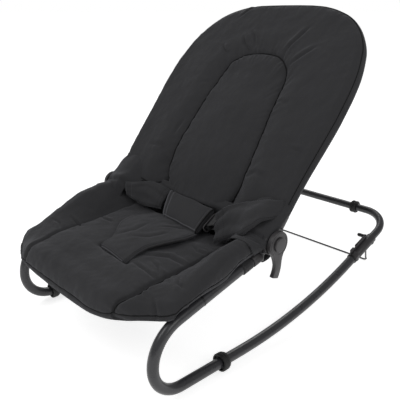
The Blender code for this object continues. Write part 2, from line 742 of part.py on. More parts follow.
def make_moving_half(name, sign, mats):
    """Half that turns with the back: conical seat, web and back tube socket"""
    x_axis = Vector((sign, 0, 0))
    notch_r = MOVING_R - 0.0046
    play = STOP_HALF + math.radians(1.2)
    start = STOP_ANGLE - play
    end = STOP_ANGLE + play + RECLINE
    outline = arc(AXIS, MOVING_R, end, start + 2 * math.pi, 20)
    outline += arc(AXIS, notch_r, start + 2 * math.pi, end + 2 * math.pi, 5)
    low, high = sorted((sign * MOVING_IN_X, sign * MOVING_OUT_X))
    disc = plate(outline, low, high)
    neck = [AXIS + BACK_DIR * a + BACK_FRONT * b for a, b in
            ((0.006, -0.0115), (0.0272, -0.0097), (0.0272, 0.0097), (0.006, 0.0115))]
    neck = plate(neck, low, high)
    socket = turned([(BACK_SOCKET[0], BACK_SOCKET_D / 2), (BACK_SOCKET[1] - 0.001, BACK_SOCKET_D / 2),
                     (BACK_SOCKET[1], BACK_SOCKET_D / 2 - 0.001)],
                    side_point(sign * BACK_TUBE_X, AXIS), side_point(0, BACK_DIR), 16)
    mesh = joined(disc, neck, socket)
    bore = turned([(BACK_SOCKET[0] + 0.002, BACK_TUBE_D / 2 + GAP),
                   (BACK_SOCKET[1] + 0.01, BACK_TUBE_D / 2 + GAP)],
                  side_point(sign * BACK_TUBE_X, AXIS), side_point(0, BACK_DIR), 16)
    cavity = cone(sign, MOVING_IN_X - 0.002, GEAR_IN_X + GEAR_T + 0.0010, CONE_PLAY)
    web = turned([(-0.03, HUB_R + 0.0004), (0.03, HUB_R + 0.0004)],
                 side_point(sign * MOVING_IN_X, AXIS), x_axis, 18)
    place("hinge_arm_" + name, cut(mesh, bore, cavity, web), mats["hinge_plastic"], AXIS)


def make_lever(name, sign, mats):
    """Release lever: disc, groove, handle and the hub with its ramps"""
    x_axis = Vector((sign, 0, 0))
    low, high = sorted((sign * LEVER_IN_X, sign * LEVER_OUT_X))
    body = plate(lever_outline(), low, high)
    rim = turned([(0, CAP_R + 0.0020), (0.0014, CAP_R + 0.0020), (0.0014, CAP_R + 0.0036),
                  (0, CAP_R + 0.0036)],
                 side_point(sign * (LEVER_OUT_X - 0.0012), AXIS), x_axis, 20, ring=True)
    face_x = GEAR_IN_X + GEAR_T + GAP
    hub = cam_solid(sign, AXLE_D / 2 + 0.0006, HUB_R, LEVER_IN_X + 0.002, face_x)
    mesh = joined(body, hub)
    seat = turned([(LEVER_OUT_X - LEVER_IN_X - 0.0026, 0.0056), (0.012, 0.0056)],
                  side_point(sign * LEVER_IN_X, AXIS), x_axis, 20)
    axle = turned([(-0.03, AXLE_D / 2 + GAP), (0.03, AXLE_D / 2 + GAP)],
                  side_point(sign * LEVER_IN_X, AXIS), x_axis, 14)
    place("release_lever_" + name, cut(mesh, rim, seat, axle), mats["hinge_plastic"], AXIS)
    bottom = LEVER_OUT_X + GAP
    knob = turned([(0, CAP_R), (CAP_T - 0.0010, CAP_R), (CAP_T, CAP_R - 0.0016)],
                  side_point(sign * bottom, AXIS), x_axis, 22)
    place("hinge_cap_" + name, knob, mats["hinge_plastic"], AXIS)


def cone(sign, start_x, end_x, play=0.0):
    """Friction cone about the recline axis; play widens it"""
    base_x = HOUSING_OUT_X - GAP
    slope = (CONE_TIP_R - CONE_BASE_R) / (GEAR_IN_X + GEAR_T - base_x)
    profile = [(x - start_x, CONE_BASE_R + slope * (x - base_x) + play) for x in (start_x, end_x)]
    return turned(profile, side_point(sign * start_x, AXIS), Vector((sign, 0, 0)), 24)


def make_lock(name, sign, mats):
    """Sliding cone with its splines, its spring and the axle"""
    x_axis = Vector((sign, 0, 0))
    low, high = sorted((sign * GEAR_IN_X, sign * (HOUSING_OUT_X - GAP)))
    splines = toothed(GEAR_TIP_R, GEAR_ROOT_R, low, high)
    gear = joined(splines, cone(sign, HOUSING_OUT_X - 0.001, GEAR_IN_X + GEAR_T))
    face_x = GEAR_IN_X + GEAR_T + GAP
    recess = cam_solid(sign, 0.0010, HUB_R + 0.0005, LEVER_IN_X, face_x, offset=GAP * 1.7, late=6)
    bore = turned([(-0.01, AXLE_D / 2 + GAP), (0.02, AXLE_D / 2 + GAP)],
                  side_point(sign * GEAR_IN_X, AXIS), x_axis, 14)
    place("locking_cone_" + name, cut(gear, recess, bore), mats["zinc_steel"], AXIS)
    turns = 3.0
    steps = 27
    room = GEAR_IN_X - CAVITY_IN_X - 2 * GAP - SPRING_WIRE
    rings = []
    for i in range(steps + 1):
        share = i / steps
        angle = 2 * math.pi * turns * share
        spoke = Vector((math.cos(angle), math.sin(angle)))
        x = CAVITY_IN_X + GAP + SPRING_WIRE / 2 + room * share
        centre = side_point(sign * x, AXIS + spoke * SPRING_R)
        ring = []
        for k in range(5):
            a = 2 * math.pi * k / 5
            ring.append(centre + side_point(0, spoke) * math.cos(a) * SPRING_WIRE / 2
                        + x_axis * math.sin(a) * SPRING_WIRE / 2)
        rings.append(ring)
    place("gear_spring_" + name, rings_to_solid(rings), mats["zinc_steel"])
    start = HOUSING_IN_X - 0.0022
    head = turned([(0, 0.0030), (0.0008, 0.0048), (0.0022 - GAP, 0.0048)],
                  side_point(sign * start, AXIS), x_axis, 14)
    shank_end = LEVER_OUT_X - 0.0026 + GAP
    shank = turned([(0.0010, AXLE_D / 2), (shank_end + 0.0012 - start, AXLE_D / 2)],
                   side_point(sign * start, AXIS), x_axis, 12)
    rivet = turned([(0, 0.0050), (0.0012, 0.0050), (0.0017, 0.0036)],
                   side_point(sign * shank_end, AXIS), x_axis, 14)
    place("hinge_axle_" + name, joined(head, shank, rivet), mats["zinc_steel"])


def back_half(along):
    """Half width of the padded outline at a distance along the back"""
    if along <= BACK_WIDEST:
        share = (along - BACK_START) / (BACK_WIDEST - BACK_START)
        return BACK_LOW_HALF + (BACK_HALF - BACK_LOW_HALF) * math.sin(share * math.pi / 2)
    share = min((along - BACK_WIDEST) / (BACK_TOP - BACK_WIDEST), 1)
    return BACK_HALF * max(1 - share ** 2.3, 0) ** (1 / 3)


def back_tube_flat():
    """Centre line of the back tube: (x, distance along the back)"""
    corner = Vector((BACK_TUBE_X - BACK_CORNER_R, BACK_TUBE_TOP - BACK_CORNER_R))
    flat = [Vector((BACK_TUBE_X, BACK_SOCKET[0] + 0.002 + GAP))]
    flat += arc(corner, BACK_CORNER_R, 0, math.pi / 2, 10)
    return flat + [Vector((-p.x, p.y)) for p in reversed(flat)]


def make_back_tube(mats):
    path = [back_point(p.x, p.y) for p in back_tube_flat()]
    normal = side_point(0, BACK_FRONT)
    place("back_tube", pipe(path, normal, BACK_TUBE_D / 2, 0.0012, 12, 6),
          mats["tube_paint"], AXIS)


def edge_round(distance, radius):
    """Height share of a rounded edge at a distance inside the outline"""
    inside = max(radius - distance, 0) / radius
    return math.sqrt(max(1 - inside * inside, 0))


def smooth(value, low, high):
    share = min(max((value - low) / (high - low), 0), 1)
    return share * share * (3 - 2 * share)


def oval_half(along):
    """Half width of the sewn oval on the back's front"""
    low, high = 0.004, OVAL_TOP
    middle = 0.118
    if along < low or along > high:
        return 0.0
    if along < middle:
        share = (middle - along) / (middle - low)
        return 0.103 * (1 - share ** 2.6) ** 0.5
    share = (along - middle) / (high - middle)
    return 0.103 * (1 - share ** 3.0) ** 0.5 * (1 - 0.12 * share)


def oval_gap(x, along):
    """Distance outside the sewn oval; negative inside it"""
    panel = oval_half(along)
    to_top = math.hypot(x, OVAL_TOP - along)
    if panel <= 0:
        return to_top
    side_gap = abs(x) - panel
    if side_gap > 0:
        return min(side_gap, to_top)
    return max(side_gap, along - OVAL_TOP)


def back_front_height(x, along):
    """Front face of the back pad, with the least padding that its foot keeps"""
    return max(back_relief(x, along), back_rear_height(x, along) + 0.0075)


def back_relief(x, along):
    """Height of the front above the plane of its tube"""
    half = back_half(along)
    edge = min(half - abs(x), (BACK_TOP - along) * 1.05)
    rim = lookup(RIM_FRONT, along)
    seam = lookup(OVAL_FRONT, along)
    gap = oval_gap(x, along)
    groove = 0.0030 * math.exp(-abs(gap) / 0.003)
    if gap < 0:
        return seam + 0.0048 * (1 - math.exp(gap / 0.016)) - groove
    rise = math.sin(min(gap / 0.048, 1) * math.pi / 2)
    puff = seam + (BACK_PUFF - seam) * rise - 0.0020 * smooth(along, 0.30, 0.42)
    height = rim + (puff - rim) * edge_round(edge, 0.0150) - groove
    foot = 0.010 * (1 - smooth(along, BACK_START, 0.085)) * smooth(edge, 0.0, 0.05)
    return height - foot


def back_rear_height(x, along):
    half = back_half(along)
    edge = min(half - abs(x), (BACK_TOP - along) * 1.05)
    roll = edge_round(edge, BACK_ROLL)
    return -BACK_ROLL * roll + 0.0075 * smooth(edge, 0.024, 0.07)


def back_stations():
    """Distances along the back where the pad is drawn, close at the top"""
    stations = [BACK_START + (BACK_WIDEST - BACK_START) * i / 10 for i in range(11)]
    for i in range(1, 9):
        stations.append(BACK_WIDEST + (BACK_TOP - BACK_WIDEST) * math.sin(i * math.pi / 16.8))
    return stations


def back_columns(half, panel):
    """Places across the pad, close at the rolled edge and at the seam"""
    rim = [0.0, 0.0020, 0.0070, 0.0140, 0.0290, 0.0420]
    columns = [half - d for d in rim if d < half * 0.6]
    while len(columns) < len(rim):
        columns.append(columns[-1] * 0.8)
    inside = columns[-1]
    seam = min(max(panel, inside * 0.55), inside * 0.9)
    columns += [seam + (inside - seam) * 0.45, seam, seam * 0.92, seam * 0.50]
    return columns


def make_back_pad(mats):
    rings = []
    for along in back_stations():
        half = back_half(along)
        columns = back_columns(half, oval_half(along))
        xs = columns + [0.0] + [-c for c in reversed(columns)]
        front = [back_point(x, along, back_front_height(x, along)) for x in xs]
        rear = [back_point(x, along, back_rear_height(x, along)) for x in reversed(xs[1:-1])]
        rings.append(front + rear)
    pad = rings_to_solid(rings)
    path = [back_point(p.x, p.y) for p in back_tube_flat()]
    path[0] = back_point(BACK_TUBE_X, -0.02)
    path[-1] = back_point(-BACK_TUBE_X, -0.02)
    room = bar(path, side_point(0, BACK_FRONT), BACK_TUBE_D / 2 + FABRIC_GAP, 12)
    pad = cut(pad, room)
    for sign in SIDES.values():
        socket = turned([(-0.01, BACK_SOCKET_D / 2 + FABRIC_GAP),
                         (BACK_SOCKET[1] + FABRIC_GAP, BACK_SOCKET_D / 2 + FABRIC_GAP)],
                        side_point(sign * BACK_TUBE_X, AXIS), side_point(0, BACK_DIR), 16)
        pad = cut(pad, socket)
    place("back_pad", pad, mats["cover_fabric"], AXIS)


def seat_spine():
    """Sections of the seat pad: centre, upward direction and a share 0 to 1.

    The rear ones stand upright; the front ones fan round the front bend.
    """
    sections = []
    rear = 0.088
    steps = 9
    for i in range(steps + 1):
        y = rear + (HIGH_CENTRE.x - rear) * i / steps
        sections.append((Vector((y, 0)), Vector((0, 1)), y))
    for i in range(1, 7):
        angle = math.pi / 2 + math.radians(10) * i
        sections.append((HIGH_CENTRE, Vector((math.cos(angle), math.sin(angle))), 0))
    return sections


def lookup(table, value):
    """Straight-line reading of an increasing table of pairs"""
    if value <= table[0][0]:
        return table[0][1]
    for (a, va), (b, vb) in zip(table, table[1:]):
        if value <= b:
            return va + (vb - va) * (value - a) / (b - a)
    return table[-1][1]


# Heights in the side view, from the floor, against y
SEAM_LINE = [(-0.0762, 0.1660), (-0.0120, 0.1700), (0.0550, 0.1775), (0.0880, 0.1830)]
BOLSTER_LINE = [(-0.0762, 0.1780), (-0.0330, 0.1970), (0.0020, 0.2110), (0.0420, 0.2170),
                (0.0800, 0.2190)]
HEM_LINE = [(-0.0762, 0.1563), (-0.0575, 0.1594), (-0.0268, 0.1629), (-0.0055, 0.1671),
            (0.0272, 0.1849), (0.0785, 0.1928), (0.0930, 0.1950)]
# Distances from the front bend's centre, against the angle past upright
SEAM_FAN = [(0, 0.0968), (26, 0.1008), (44, 0.1145), (52, 0.1130), (62, 0.1040)]
BOLSTER_FAN = [(0, 0.1088), (14, 0.1003), (34, 0.0984), (46, 0.0951), (62, 0.0920)]
HEM_FAN = [(0, 0.0871), (20, 0.0850), (62, 0.0845)]


def seat_section(centre, up, y, fan):
    """Half of a seat section: points (x, height along up), outside then inside"""
    if fan is None:
        seam = lookup(SEAM_LINE, y)
        top = lookup(BOLSTER_LINE, y)
        hem = lookup(HEM_LINE, y)
        tube = (SPLICE + RISER_DIR * ((y - SPLICE.x) / RISER_DIR.x)).y
        under = (min(seam - PAD_T, tube + 0.006), tube - 0.0020, tube - 0.0035)
    else:
        seam = lookup(SEAM_FAN, fan)
        top = lookup(BOLSTER_FAN, fan)
        hem = lookup(HEM_FAN, fan)
        tube = FRONT_HIGH_R
        share = smooth(fan, 0, 28)
        start = (tube + 0.006, tube - 0.0020, tube - 0.0035)
        clear = (tube + 0.0190, tube + 0.0110, tube + 0.0030)
        under = [a + (b - a) * share for a, b in zip(start, clear)]
    bulge = hem + (top - hem) * 0.45
    low = SAG * smooth(y, 0.020, 0.080) if fan is None else 0.0
    middle_line = seam - low
    outside = [(HEM_X, hem), (SEAT_HALF, bulge), (0.2135, top - 0.0060),
               (0.2040, top - 0.0008), (BOLSTER_X, top), (0.176, seam + (top - seam) * 0.72),
               (0.158, seam + (top - seam) * 0.28 + 0.0010), (0.1470, seam + 0.0015),
               (SEAM_X, seam - 0.0020), (0.1350, seam + 0.0022 - low * 0.2),
               (0.1050, middle_line + 0.0040), (0.0700, middle_line + 0.0030),
               (0.0350, middle_line + 0.0010)]
    middle = (0.0, middle_line)
    inside = [(0.0350, middle_line - PAD_T + 0.0010), (0.0700, middle_line - PAD_T + 0.0020),
              (0.1050, middle_line - PAD_T + 0.0020), (0.1410, seam - PAD_T - 0.0010),
              (0.1700, under[0]), (0.1880, under[1]), (0.1980, under[2]),
              (HEM_X - 0.0012, hem - 0.0012)]
    return outside, middle, inside


def bow_path():
    """From the outer flat of one side tube across the front to the other"""
    hold = HIGH_CENTRE + Vector((math.cos(math.radians(146)),
                                 math.sin(math.radians(146)))) * FRONT_HIGH_R
    end = HALF - RAIL_D / 2 - GAP
    half = [side_point(end, hold), side_point(end - 0.0070, hold),
            side_point(end - 0.0190, hold * 0.62 + BOW * 0.38),
            side_point(end - 0.0330, hold * 0.12 + BOW * 0.88),
            side_point(end - 0.0460, BOW)]
    return half + [Vector((-p.x, p.y, p.z)) for p in reversed(half)]


def bow_rings(radius, sides):
    path = bow_path()
    rings = []
    for i, point in enumerate(path):
        along = (path[min(i + 1, len(path) - 1)] - path[max(i - 1, 0)]).normalized()
        first = along.cross(Vector((0, 0.6, 0.8))).normalized()
        second = along.cross(first).normalized()
        rings.append([point + (first * math.cos(2 * math.pi * k / sides)
                      + second * math.sin(2 * math.pi * k / sides)) * radius
                      for k in range(sides)])
    return rings


def make_seat_pad(mats):
    rings = []
    for centre, up, y in seat_spine():
        fan = None
        if centre == HIGH_CENTRE:
            fan = math.degrees(math.atan2(-up.x, up.y))
        outside, middle, inside = seat_section(centre, up, y, fan)
        squeeze = 1.0
        if fan is not None:
            squeeze = 1.0 - 0.020 * smooth(fan, 30, 62)
        loop = outside + [middle] + [(-x, h) for x, h in reversed(outside)]
        loop += [(-x, h) for x, h in reversed(inside)]
        loop += [(0.0, middle[1] - PAD_T)] + inside
        base = centre if fan is not None else Vector((centre.x, 0))
        rings.append([side_point(x * squeeze, base + up * h) for x, h in loop])
    pad = rings_to_solid(rings)
    place("seat_pad", cut(pad, *seat_rooms()), mats["cover_fabric"])


def seat_rooms():
    """What the seat pad leaves free: tubes, front bow, loops and hinges"""
    rooms = []
    across = Vector((1, 0, 0))
    for sign in SIDES.values():
        path = [side_point(sign * HALF, seat_tube_point(0.16))]
        path += [side_point(sign * HALF, p) for p in side_tube_path()[:-10]]
        rooms.append(bar(path, across, RAIL_D / 2 + FABRIC_GAP, 14))
        centre = side_point(sign * HALF, seat_tube_point(LOOP_AT))
        rooms.append(turned([(-0.0125, RAIL_D / 2 + LOOP_T + 0.0018),
                             (0.060, RAIL_D / 2 + LOOP_T + 0.0018)],
                            centre, side_point(0, RISER_DIR), 16))
        low, high = sorted((sign * (HOUSING_IN_X - 0.0045), sign * 0.250))
        rooms.append(plate(arc(AXIS, 0.0360, 0, 2 * math.pi, 28)[:-1], low, high))
    rooms.append(rings_to_solid(bow_rings(BOW_D / 2 + FABRIC_GAP, 10)))
    return rooms


def make_loops(mats):
    for name, sign in SIDES.items():
        half = LOOP_W / 2
        bore = RAIL_D / 2 + GAP
        outer = bore + LOOP_T
        profile = [(-half, bore), (-half, outer - 0.0004), (-half + 0.0006, outer),
                   (half - 0.0006, outer), (half, outer - 0.0004), (half, bore)]
        place("cover_loop_" + name,
              turned(profile, side_point(sign * HALF, seat_tube_point(LOOP_AT - 0.0005)),
                     side_point(0, RISER_DIR), 16, ring=True),
              mats["strap_webbing"])


def sheet(rows, thickness):
    """Thin padded strip through rows of points, thickened along its normals"""
    count, width = len(rows), len(rows[0])
    tops, unders = [], []
    for i in range(count):
        top, under = [], []
        for j in range(width):
            du = rows[min(i + 1, count - 1)][j] - rows[max(i - 1, 0)][j]
            dv = rows[i][min(j + 1, width - 1)] - rows[i][max(j - 1, 0)]
            normal = du.cross(dv).normalized()
            edge = min(j, width - 1 - j)
            share = 0.35 if edge == 0 else 1.0
            top.append(rows[i][j] + normal * thickness * share / 2)
            under.append(rows[i][j] - normal * thickness * share / 2)
        tops.append(top)
        unders.append(under)
    rings = [top + list(reversed(under)) for top, under in zip(tops, unders)]
    return rings_to_solid(rings)


def crotch_rows():
    """Crotch pad: rises from its slot on the seat and widens to the roll"""
    stations = [(-0.0600, 0.1722, 0.0380), (-0.0540, 0.1730, 0.0440),
                (-0.0360, 0.1750, 0.0465), (-0.0180, 0.1765, 0.0530),
                (0.0050, 0.1782, 0.0640), (0.0300, 0.1800, 0.0720), (0.0560, 0.1808, 0.0740),
                (0.0700, 0.1830, 0.0640), (0.0848, 0.1874, 0.0480)]
    shares = (-1, -0.8, -0.5, -0.2, 0.2, 0.5, 0.8, 1)
    return [[Vector((half * s, y, z + 0.003 * (1 - s * s))) for s in shares]
            for y, z, half in stations]


def make_crease(mats):
    """Slack cloth behind the roll, from the seat's rear end to the back"""
    fold = [(0.0894, 0.1660), (0.1010, 0.1600), (0.1135, 0.1612), (0.1260, 0.1715),
            (0.1325, 0.1860), (0.1285, 0.2000), (0.1235, 0.2110)]
    fold += [tuple(AXIS + BACK_DIR * (BACK_START + a) + BACK_FRONT * CREASE_BEHIND)
             for a in (0.0015, 0.0120)]
    shares = (-1, -0.97, -0.6, -0.2, 0.2, 0.6, 0.97, 1)
    rows = [[Vector((CREASE_HALF * s, y, z)) for s in shares] for y, z in fold]
    place("cover_crease", sheet(rows, 0.004), mats["cover_fabric"])


def make_belts(mats):
    place("crotch_pad", sheet(crotch_rows(), 0.008), mats["cover_fabric"])
    roll_axis = (ROLL_ENDS[1] - ROLL_ENDS[0]).normalized()
    half = (ROLL_ENDS[1] - ROLL_ENDS[0]).length / 2
    centre = (ROLL_ENDS[0] + ROLL_ENDS[1]) / 2
    profile = [(-half, 0.0105), (0.0025 - half, 0.0145), (-half * 0.5, 0.0160), (0.0, 0.0165),
               (half * 0.5, 0.0160), (half - 0.0025, 0.0145), (half, 0.0105)]
    place("waist_roll", turned(profile, centre, roll_axis, 16), mats["cover_fabric"])
    starts = {"left": ROLL_ENDS[1] + STRAP_DIR * (STRAP_TOP_END - 0.0004),
              "right": ROLL_ENDS[0] + Vector((-0.008, -0.002, 0.003))}
    for name, sign in SIDES.items():
        near = starts[name]
        far = Vector((sign * WING_END.x, WING_END.y, WING_END.z))
        rows = []
        for i in range(8):
            share = i / 7
            half = 0.014 + 0.0305 * smooth(share, 0.0, 0.9)
            middle = near.lerp(far, share) + Vector((0, 0, -0.008 * math.sin(math.pi * share)))
            rows.append([middle + WING_WIDE * half * s
                         for s in (-1, -0.86, -0.45, 0, 0.45, 0.86, 1)])
        place("waist_belt_" + name, sheet(rows, BELT_T), mats["cover_fabric"])
    make_buckle(mats)


def strap_frame():
    """Directions along the strap, across it and square to it"""
    square = STRAP_DIR.cross(STRAP_WIDE).normalized()
    return STRAP_DIR, square.cross(STRAP_DIR).normalized(), square


def strap_prism(outline, low, high):
    """Outline of (along, through) points drawn out across the strap"""
    along, across, square = strap_frame()
    rings = [[ROLL_ENDS[1] + along * a + square * t + across * w for a, t in outline]
             for w in (low, high)]
    return rings_to_solid(rings)


def buckle_box(along, wide, thick):
    """Box in the strap's frame: ranges along the strap, across it and through it"""
    outline = [(along[0], thick[0]), (along[1], thick[0]), (along[1], thick[1]),
               (along[0], thick[1])]
    return strap_prism(outline, *wide)


def webbing(near, far_top, far_under, turn, level):
    """Webbing that comes in along one face, turns in a slot and goes back"""
    over = level + STRAP_T / 2
    return [(far_top, over), (turn, over), (turn, -over), (far_under, -over),
            (far_under, -level), (near, -level), (near, level), (far_top, level)]


def make_buckle(mats):
    """Side-release buckle beside the roll: body, tongue and two webbings"""
    half_w = BUCKLE_W / 2
    half_t = BUCKLE_T / 2
    inside = half_t - 0.0018
    body = buckle_box((BUCKLE_AT, BUCKLE_AT + 0.0210), (-half_w, half_w), (-half_t, half_t))
    pocket = buckle_box((BUCKLE_AT + 0.0060, BUCKLE_AT + 0.0310),
                        (-half_w + 0.0030, half_w - 0.0030), (-inside, inside))
    window = buckle_box((BUCKLE_AT + 0.0085, BUCKLE_AT + 0.0165),
                        (-half_w - 0.01, half_w + 0.01), (-inside, inside))
    slot = buckle_box((BUCKLE_AT + 0.0018, BUCKLE_AT + 0.0040),
                      (-STRAP_W / 2 - GAP, STRAP_W / 2 + GAP), (-0.02, 0.02))
    place("buckle_body", cut(body, pocket, window, slot), mats["black_plastic"])
    start = BUCKLE_AT + 0.0210 + GAP
    plate_part = buckle_box((start, start + 0.0110), (-half_w, half_w), (-half_t, half_t))
    slim = inside - GAP
    prongs = []
    for low, high in ((-half_w + 0.0036, -half_w + 0.0080), (-0.0040, 0.0040),
                      (half_w - 0.0080, half_w - 0.0036)):
        prongs.append(buckle_box((start - 0.0140, start + 0.002), (low, high), (-slim, slim)))
    for side in (-1, 1):
        hook = sorted((side * (half_w - 0.0050), side * (half_w - 0.0004)))
        prongs.append(buckle_box((start - 0.0125, start - 0.0060), hook, (-slim, slim)))
    slot = buckle_box((start + 0.0050, start + 0.0078),
                      (-STRAP_W / 2 - GAP, STRAP_W / 2 + GAP), (-0.02, 0.02))
    tongue = joined(plate_part, *prongs)
    place("buckle_tongue", cut(tongue, slot), mats["black_plastic"])
    level = half_t + GAP
    wide = (-STRAP_W / 2, STRAP_W / 2)
    outline = webbing(start + 0.0071, STRAP_TOP_END, STRAP_UNDER_END, start + 0.0055, level)
    place("waist_strap_left", strap_prism(outline, *wide), mats["strap_webbing"])
    outline = webbing(BUCKLE_AT + 0.0022, LOOP_START, LOOP_START, BUCKLE_AT + 0.0036, level)
    place("buckle_loop", strap_prism(outline, *wide), mats["strap_webbing"])


def main():
    clear_scene()
    mats = make_materials()
    make_side_tubes(mats)
    make_rings(mats)
    make_rear_tube(mats)
    make_rail_joints(mats)
    make_stand(mats)
    make_hinges(mats)
    make_back_tube(mats)
    place("front_bow", rings_to_solid(bow_rings(BOW_D / 2, 10)), mats["tube_paint"])
    make_back_pad(mats)
    make_seat_pad(mats)
    make_loops(mats)
    make_crease(mats)
    make_belts(mats)


if __name__ == "__main__":
    main()
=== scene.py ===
"""Baby bouncer: bent steel tube frame, reclining back, padded cover with a waist belt."""
import json
import math

import bmesh
import bpy
import numpy as np
from mathutils import Matrix, Vector, noise


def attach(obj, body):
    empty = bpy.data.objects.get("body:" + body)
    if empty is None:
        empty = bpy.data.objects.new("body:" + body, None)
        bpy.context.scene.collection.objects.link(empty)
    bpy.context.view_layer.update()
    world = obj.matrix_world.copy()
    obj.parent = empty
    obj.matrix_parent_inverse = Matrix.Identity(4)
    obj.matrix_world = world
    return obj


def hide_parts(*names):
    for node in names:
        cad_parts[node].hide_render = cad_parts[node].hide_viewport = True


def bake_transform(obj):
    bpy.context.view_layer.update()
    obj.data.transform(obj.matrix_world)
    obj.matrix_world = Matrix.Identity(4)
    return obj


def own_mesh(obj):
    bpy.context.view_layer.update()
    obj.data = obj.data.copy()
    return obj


bl_info = {
    "name": "Baby bouncer",
    "version": (1, 0, 0),
    "blender": (4, 5, 0),
    "location": "3D View > Sidebar > Bouncer",
    "description": "Dresses the bouncer's frame in finished tubes, hinges, padded cover and belt",
    "category": "Object",
}

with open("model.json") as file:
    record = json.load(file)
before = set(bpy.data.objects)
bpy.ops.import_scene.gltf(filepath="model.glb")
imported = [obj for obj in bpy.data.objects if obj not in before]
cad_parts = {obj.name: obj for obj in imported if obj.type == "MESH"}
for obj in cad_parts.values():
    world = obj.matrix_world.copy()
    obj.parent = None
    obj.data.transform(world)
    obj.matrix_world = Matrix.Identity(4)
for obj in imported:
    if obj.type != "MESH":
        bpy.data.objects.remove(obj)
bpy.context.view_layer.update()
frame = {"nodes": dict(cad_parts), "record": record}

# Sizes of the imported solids, in metres. Side views are (y, z) with y = 0 at the left
# foot ring; ORIGIN_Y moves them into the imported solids' frame.
ORIGIN_Y = 0.18485
GAP = 0.0003
HALF = 0.2025
RAIL_R = 0.009
RIDE = 0.0155
FRONT_Y = -0.1422
LOW_R = 0.0537
HIGH_R = 0.066
SLOPE = math.radians(15.5)
ROCKER_R = 0.876
ROCKER_RISE = math.radians(21)
RAIL_TAIL = 0.0172
RISER = 0.0486
JOINT_LEN = 0.075
JOINT_R = 0.01025
REAR_R = 0.008
REAR_Y = 0.5135
REAR_BEND_R = 0.058
PIVOT = (0.457, 0.0965)
STAND_FOOT = (0.539, 0.0021)
STAND_EYE_X = 0.179
STAND_EYE_HALF = 0.0021
WIRE_R = 0.002
BOW_R = 0.004
AXIS = (0.0925, 0.2055)
BACK_ANGLE = math.radians(50.5)
BACK_TUBE_X = 0.2147
BACK_LOW, BACK_HIGH = 0.028, 0.4614
ROLL_END = Vector((0.052, 0.106, 0.1865))
STRAP_DIR = Vector((0.87, -0.3, 0.39)).normalized()
STRAP_WIDE = Vector((0, 0.85, 0.53))
BUCKLE_AT, BUCKLE_LONG, BUCKLE_T = 0.0105, 0.021, 0.0075
TAPE_T, TAPE_WIDE = 0.0022, 0.032
SIDES = {"left": 1, "right": -1}


def in_view(view, along, up=0.0):
    """(y, z) of a point given along and square to the way of a side-view frame"""
    start, way, square = view
    return (start[0] + way[0] * along + square[0] * up,
            start[1] + way[1] * along + square[1] * up)


def ways(angle):
    """Direction of a slope in the side view, and the one square to it"""
    return (math.cos(angle), math.sin(angle)), (-math.sin(angle), math.cos(angle))


LOW_CENTRE = (FRONT_Y + LOW_R, RIDE + LOW_R)
HIGH_CENTRE = (FRONT_Y + HIGH_R, RIDE + LOW_R)
ROCKER_CENTRE = (0.042, RIDE + ROCKER_R)
RISER_DIR, RISER_UP = ways(SLOPE)
RAIL_DIR, RAIL_UP = ways(ROCKER_RISE)
BACK_DIR, BACK_FRONT = ways(BACK_ANGLE)
SPLICE = in_view((HIGH_CENTRE, RISER_UP, RISER_DIR), HIGH_R, RISER)
JOINT_START = in_view((ROCKER_CENTRE, RAIL_UP, RAIL_DIR), -ROCKER_R, RAIL_TAIL)
RISER_VIEW = (SPLICE, RISER_DIR, RISER_UP)
RAIL_VIEW = (JOINT_START, RAIL_DIR, RAIL_UP)
BACK_VIEW = (AXIS, BACK_DIR, BACK_FRONT)
BAR_AT = (REAR_Y - JOINT_START[0]) / RAIL_DIR[0]


# ---------------------------------------------------------------- sizes a user may change

def length_property(name, description, default):
    return bpy.props.FloatProperty(name=name, description=description, default=default,
                                   unit="LENGTH")


class BouncerSizes(bpy.types.PropertyGroup):
    """Trim and finish of the bouncer"""
    tube_sides: bpy.props.IntProperty(
        name="Tube sides", description="Faces round each tube", default=32, min=8, max=64)
    stitch_pitch: length_property("Stitch pitch", "From one stitch to the next", 0.0034)
    stitch_length: length_property("Stitch length", "Visible length of a stitch", 0.0025)
    thread: length_property("Thread", "Thickness of the sewing thread", 0.0007)
    piping: length_property("Piping", "Thickness of the piping round the back", 0.0026)
    seam_depth: length_property("Seam depth", "How far a seam pulls the padding in", 0.0045)
    weave: length_property("Weave", "Distance between two yarns of the cover", 0.0009)
    webbing: length_property("Webbing rib", "Distance between two ribs of the webbing", 0.0016)


def srgb(code):
    """Linear colour of a hex code"""
    parts = [int(code[i:i + 2], 16) / 255 for i in (0, 2, 4)]
    return [p / 12.92 if p <= 0.04045 else ((p + 0.055) / 1.055) ** 2.4 for p in parts]


def colour_property(name, description, code):
    return bpy.props.FloatVectorProperty(name=name, description=description, size=3,
                                         subtype="COLOR", min=0, max=1, default=srgb(code))


class BouncerColours(bpy.types.PropertyGroup):
    """Colours of the bouncer"""
    paint: colour_property("Tube paint", "Powder coat of the tubes", "37373a")
    cover: colour_property("Cover", "Woven polyester of the padded cover", "313133")
    # Lighter and bluer than the cover: the tape also stands for painted highlights where light
    # strikes the pad's, roll's and wing's edges
    tape: colour_property("Bound edge", "Tape round the pad's edges and its thread", "56565a")
    # Near black: the seam cords and thread also stand for painted shade in the seam grooves
    seam: colour_property("Seam", "Piping and thread in the seams", "0b0b0c")
    strap: colour_property("Webbing", "Belt webbing and cover loops", "2b2b2d")
    plastic: colour_property("Black plastic", "Buckle, collars and fastener heads", "1d1d1e")
    hinge: colour_property("Hinge plastic", "Hinges, levers and rail joints", "363436")
    rubber: colour_property("Rubber", "Foot rings and bumper rings", "181818")
    steel: colour_property("Zinc steel", "Pins and locking parts", "b0b2b4")


# ---------------------------------------------------------------- finishes

def add(tree, kind, inputs=None, **settings):
    """A node in a tree, with its settings and its inputs or links"""
    node = tree.nodes.new(kind)
    for key, value in settings.items():
        setattr(node, key, value)
    for key, value in (inputs or {}).items():
        if isinstance(value, bpy.types.NodeSocket):
            tree.links.new(value, node.inputs[key])
        else:
            node.inputs[key].default_value = value
    return node


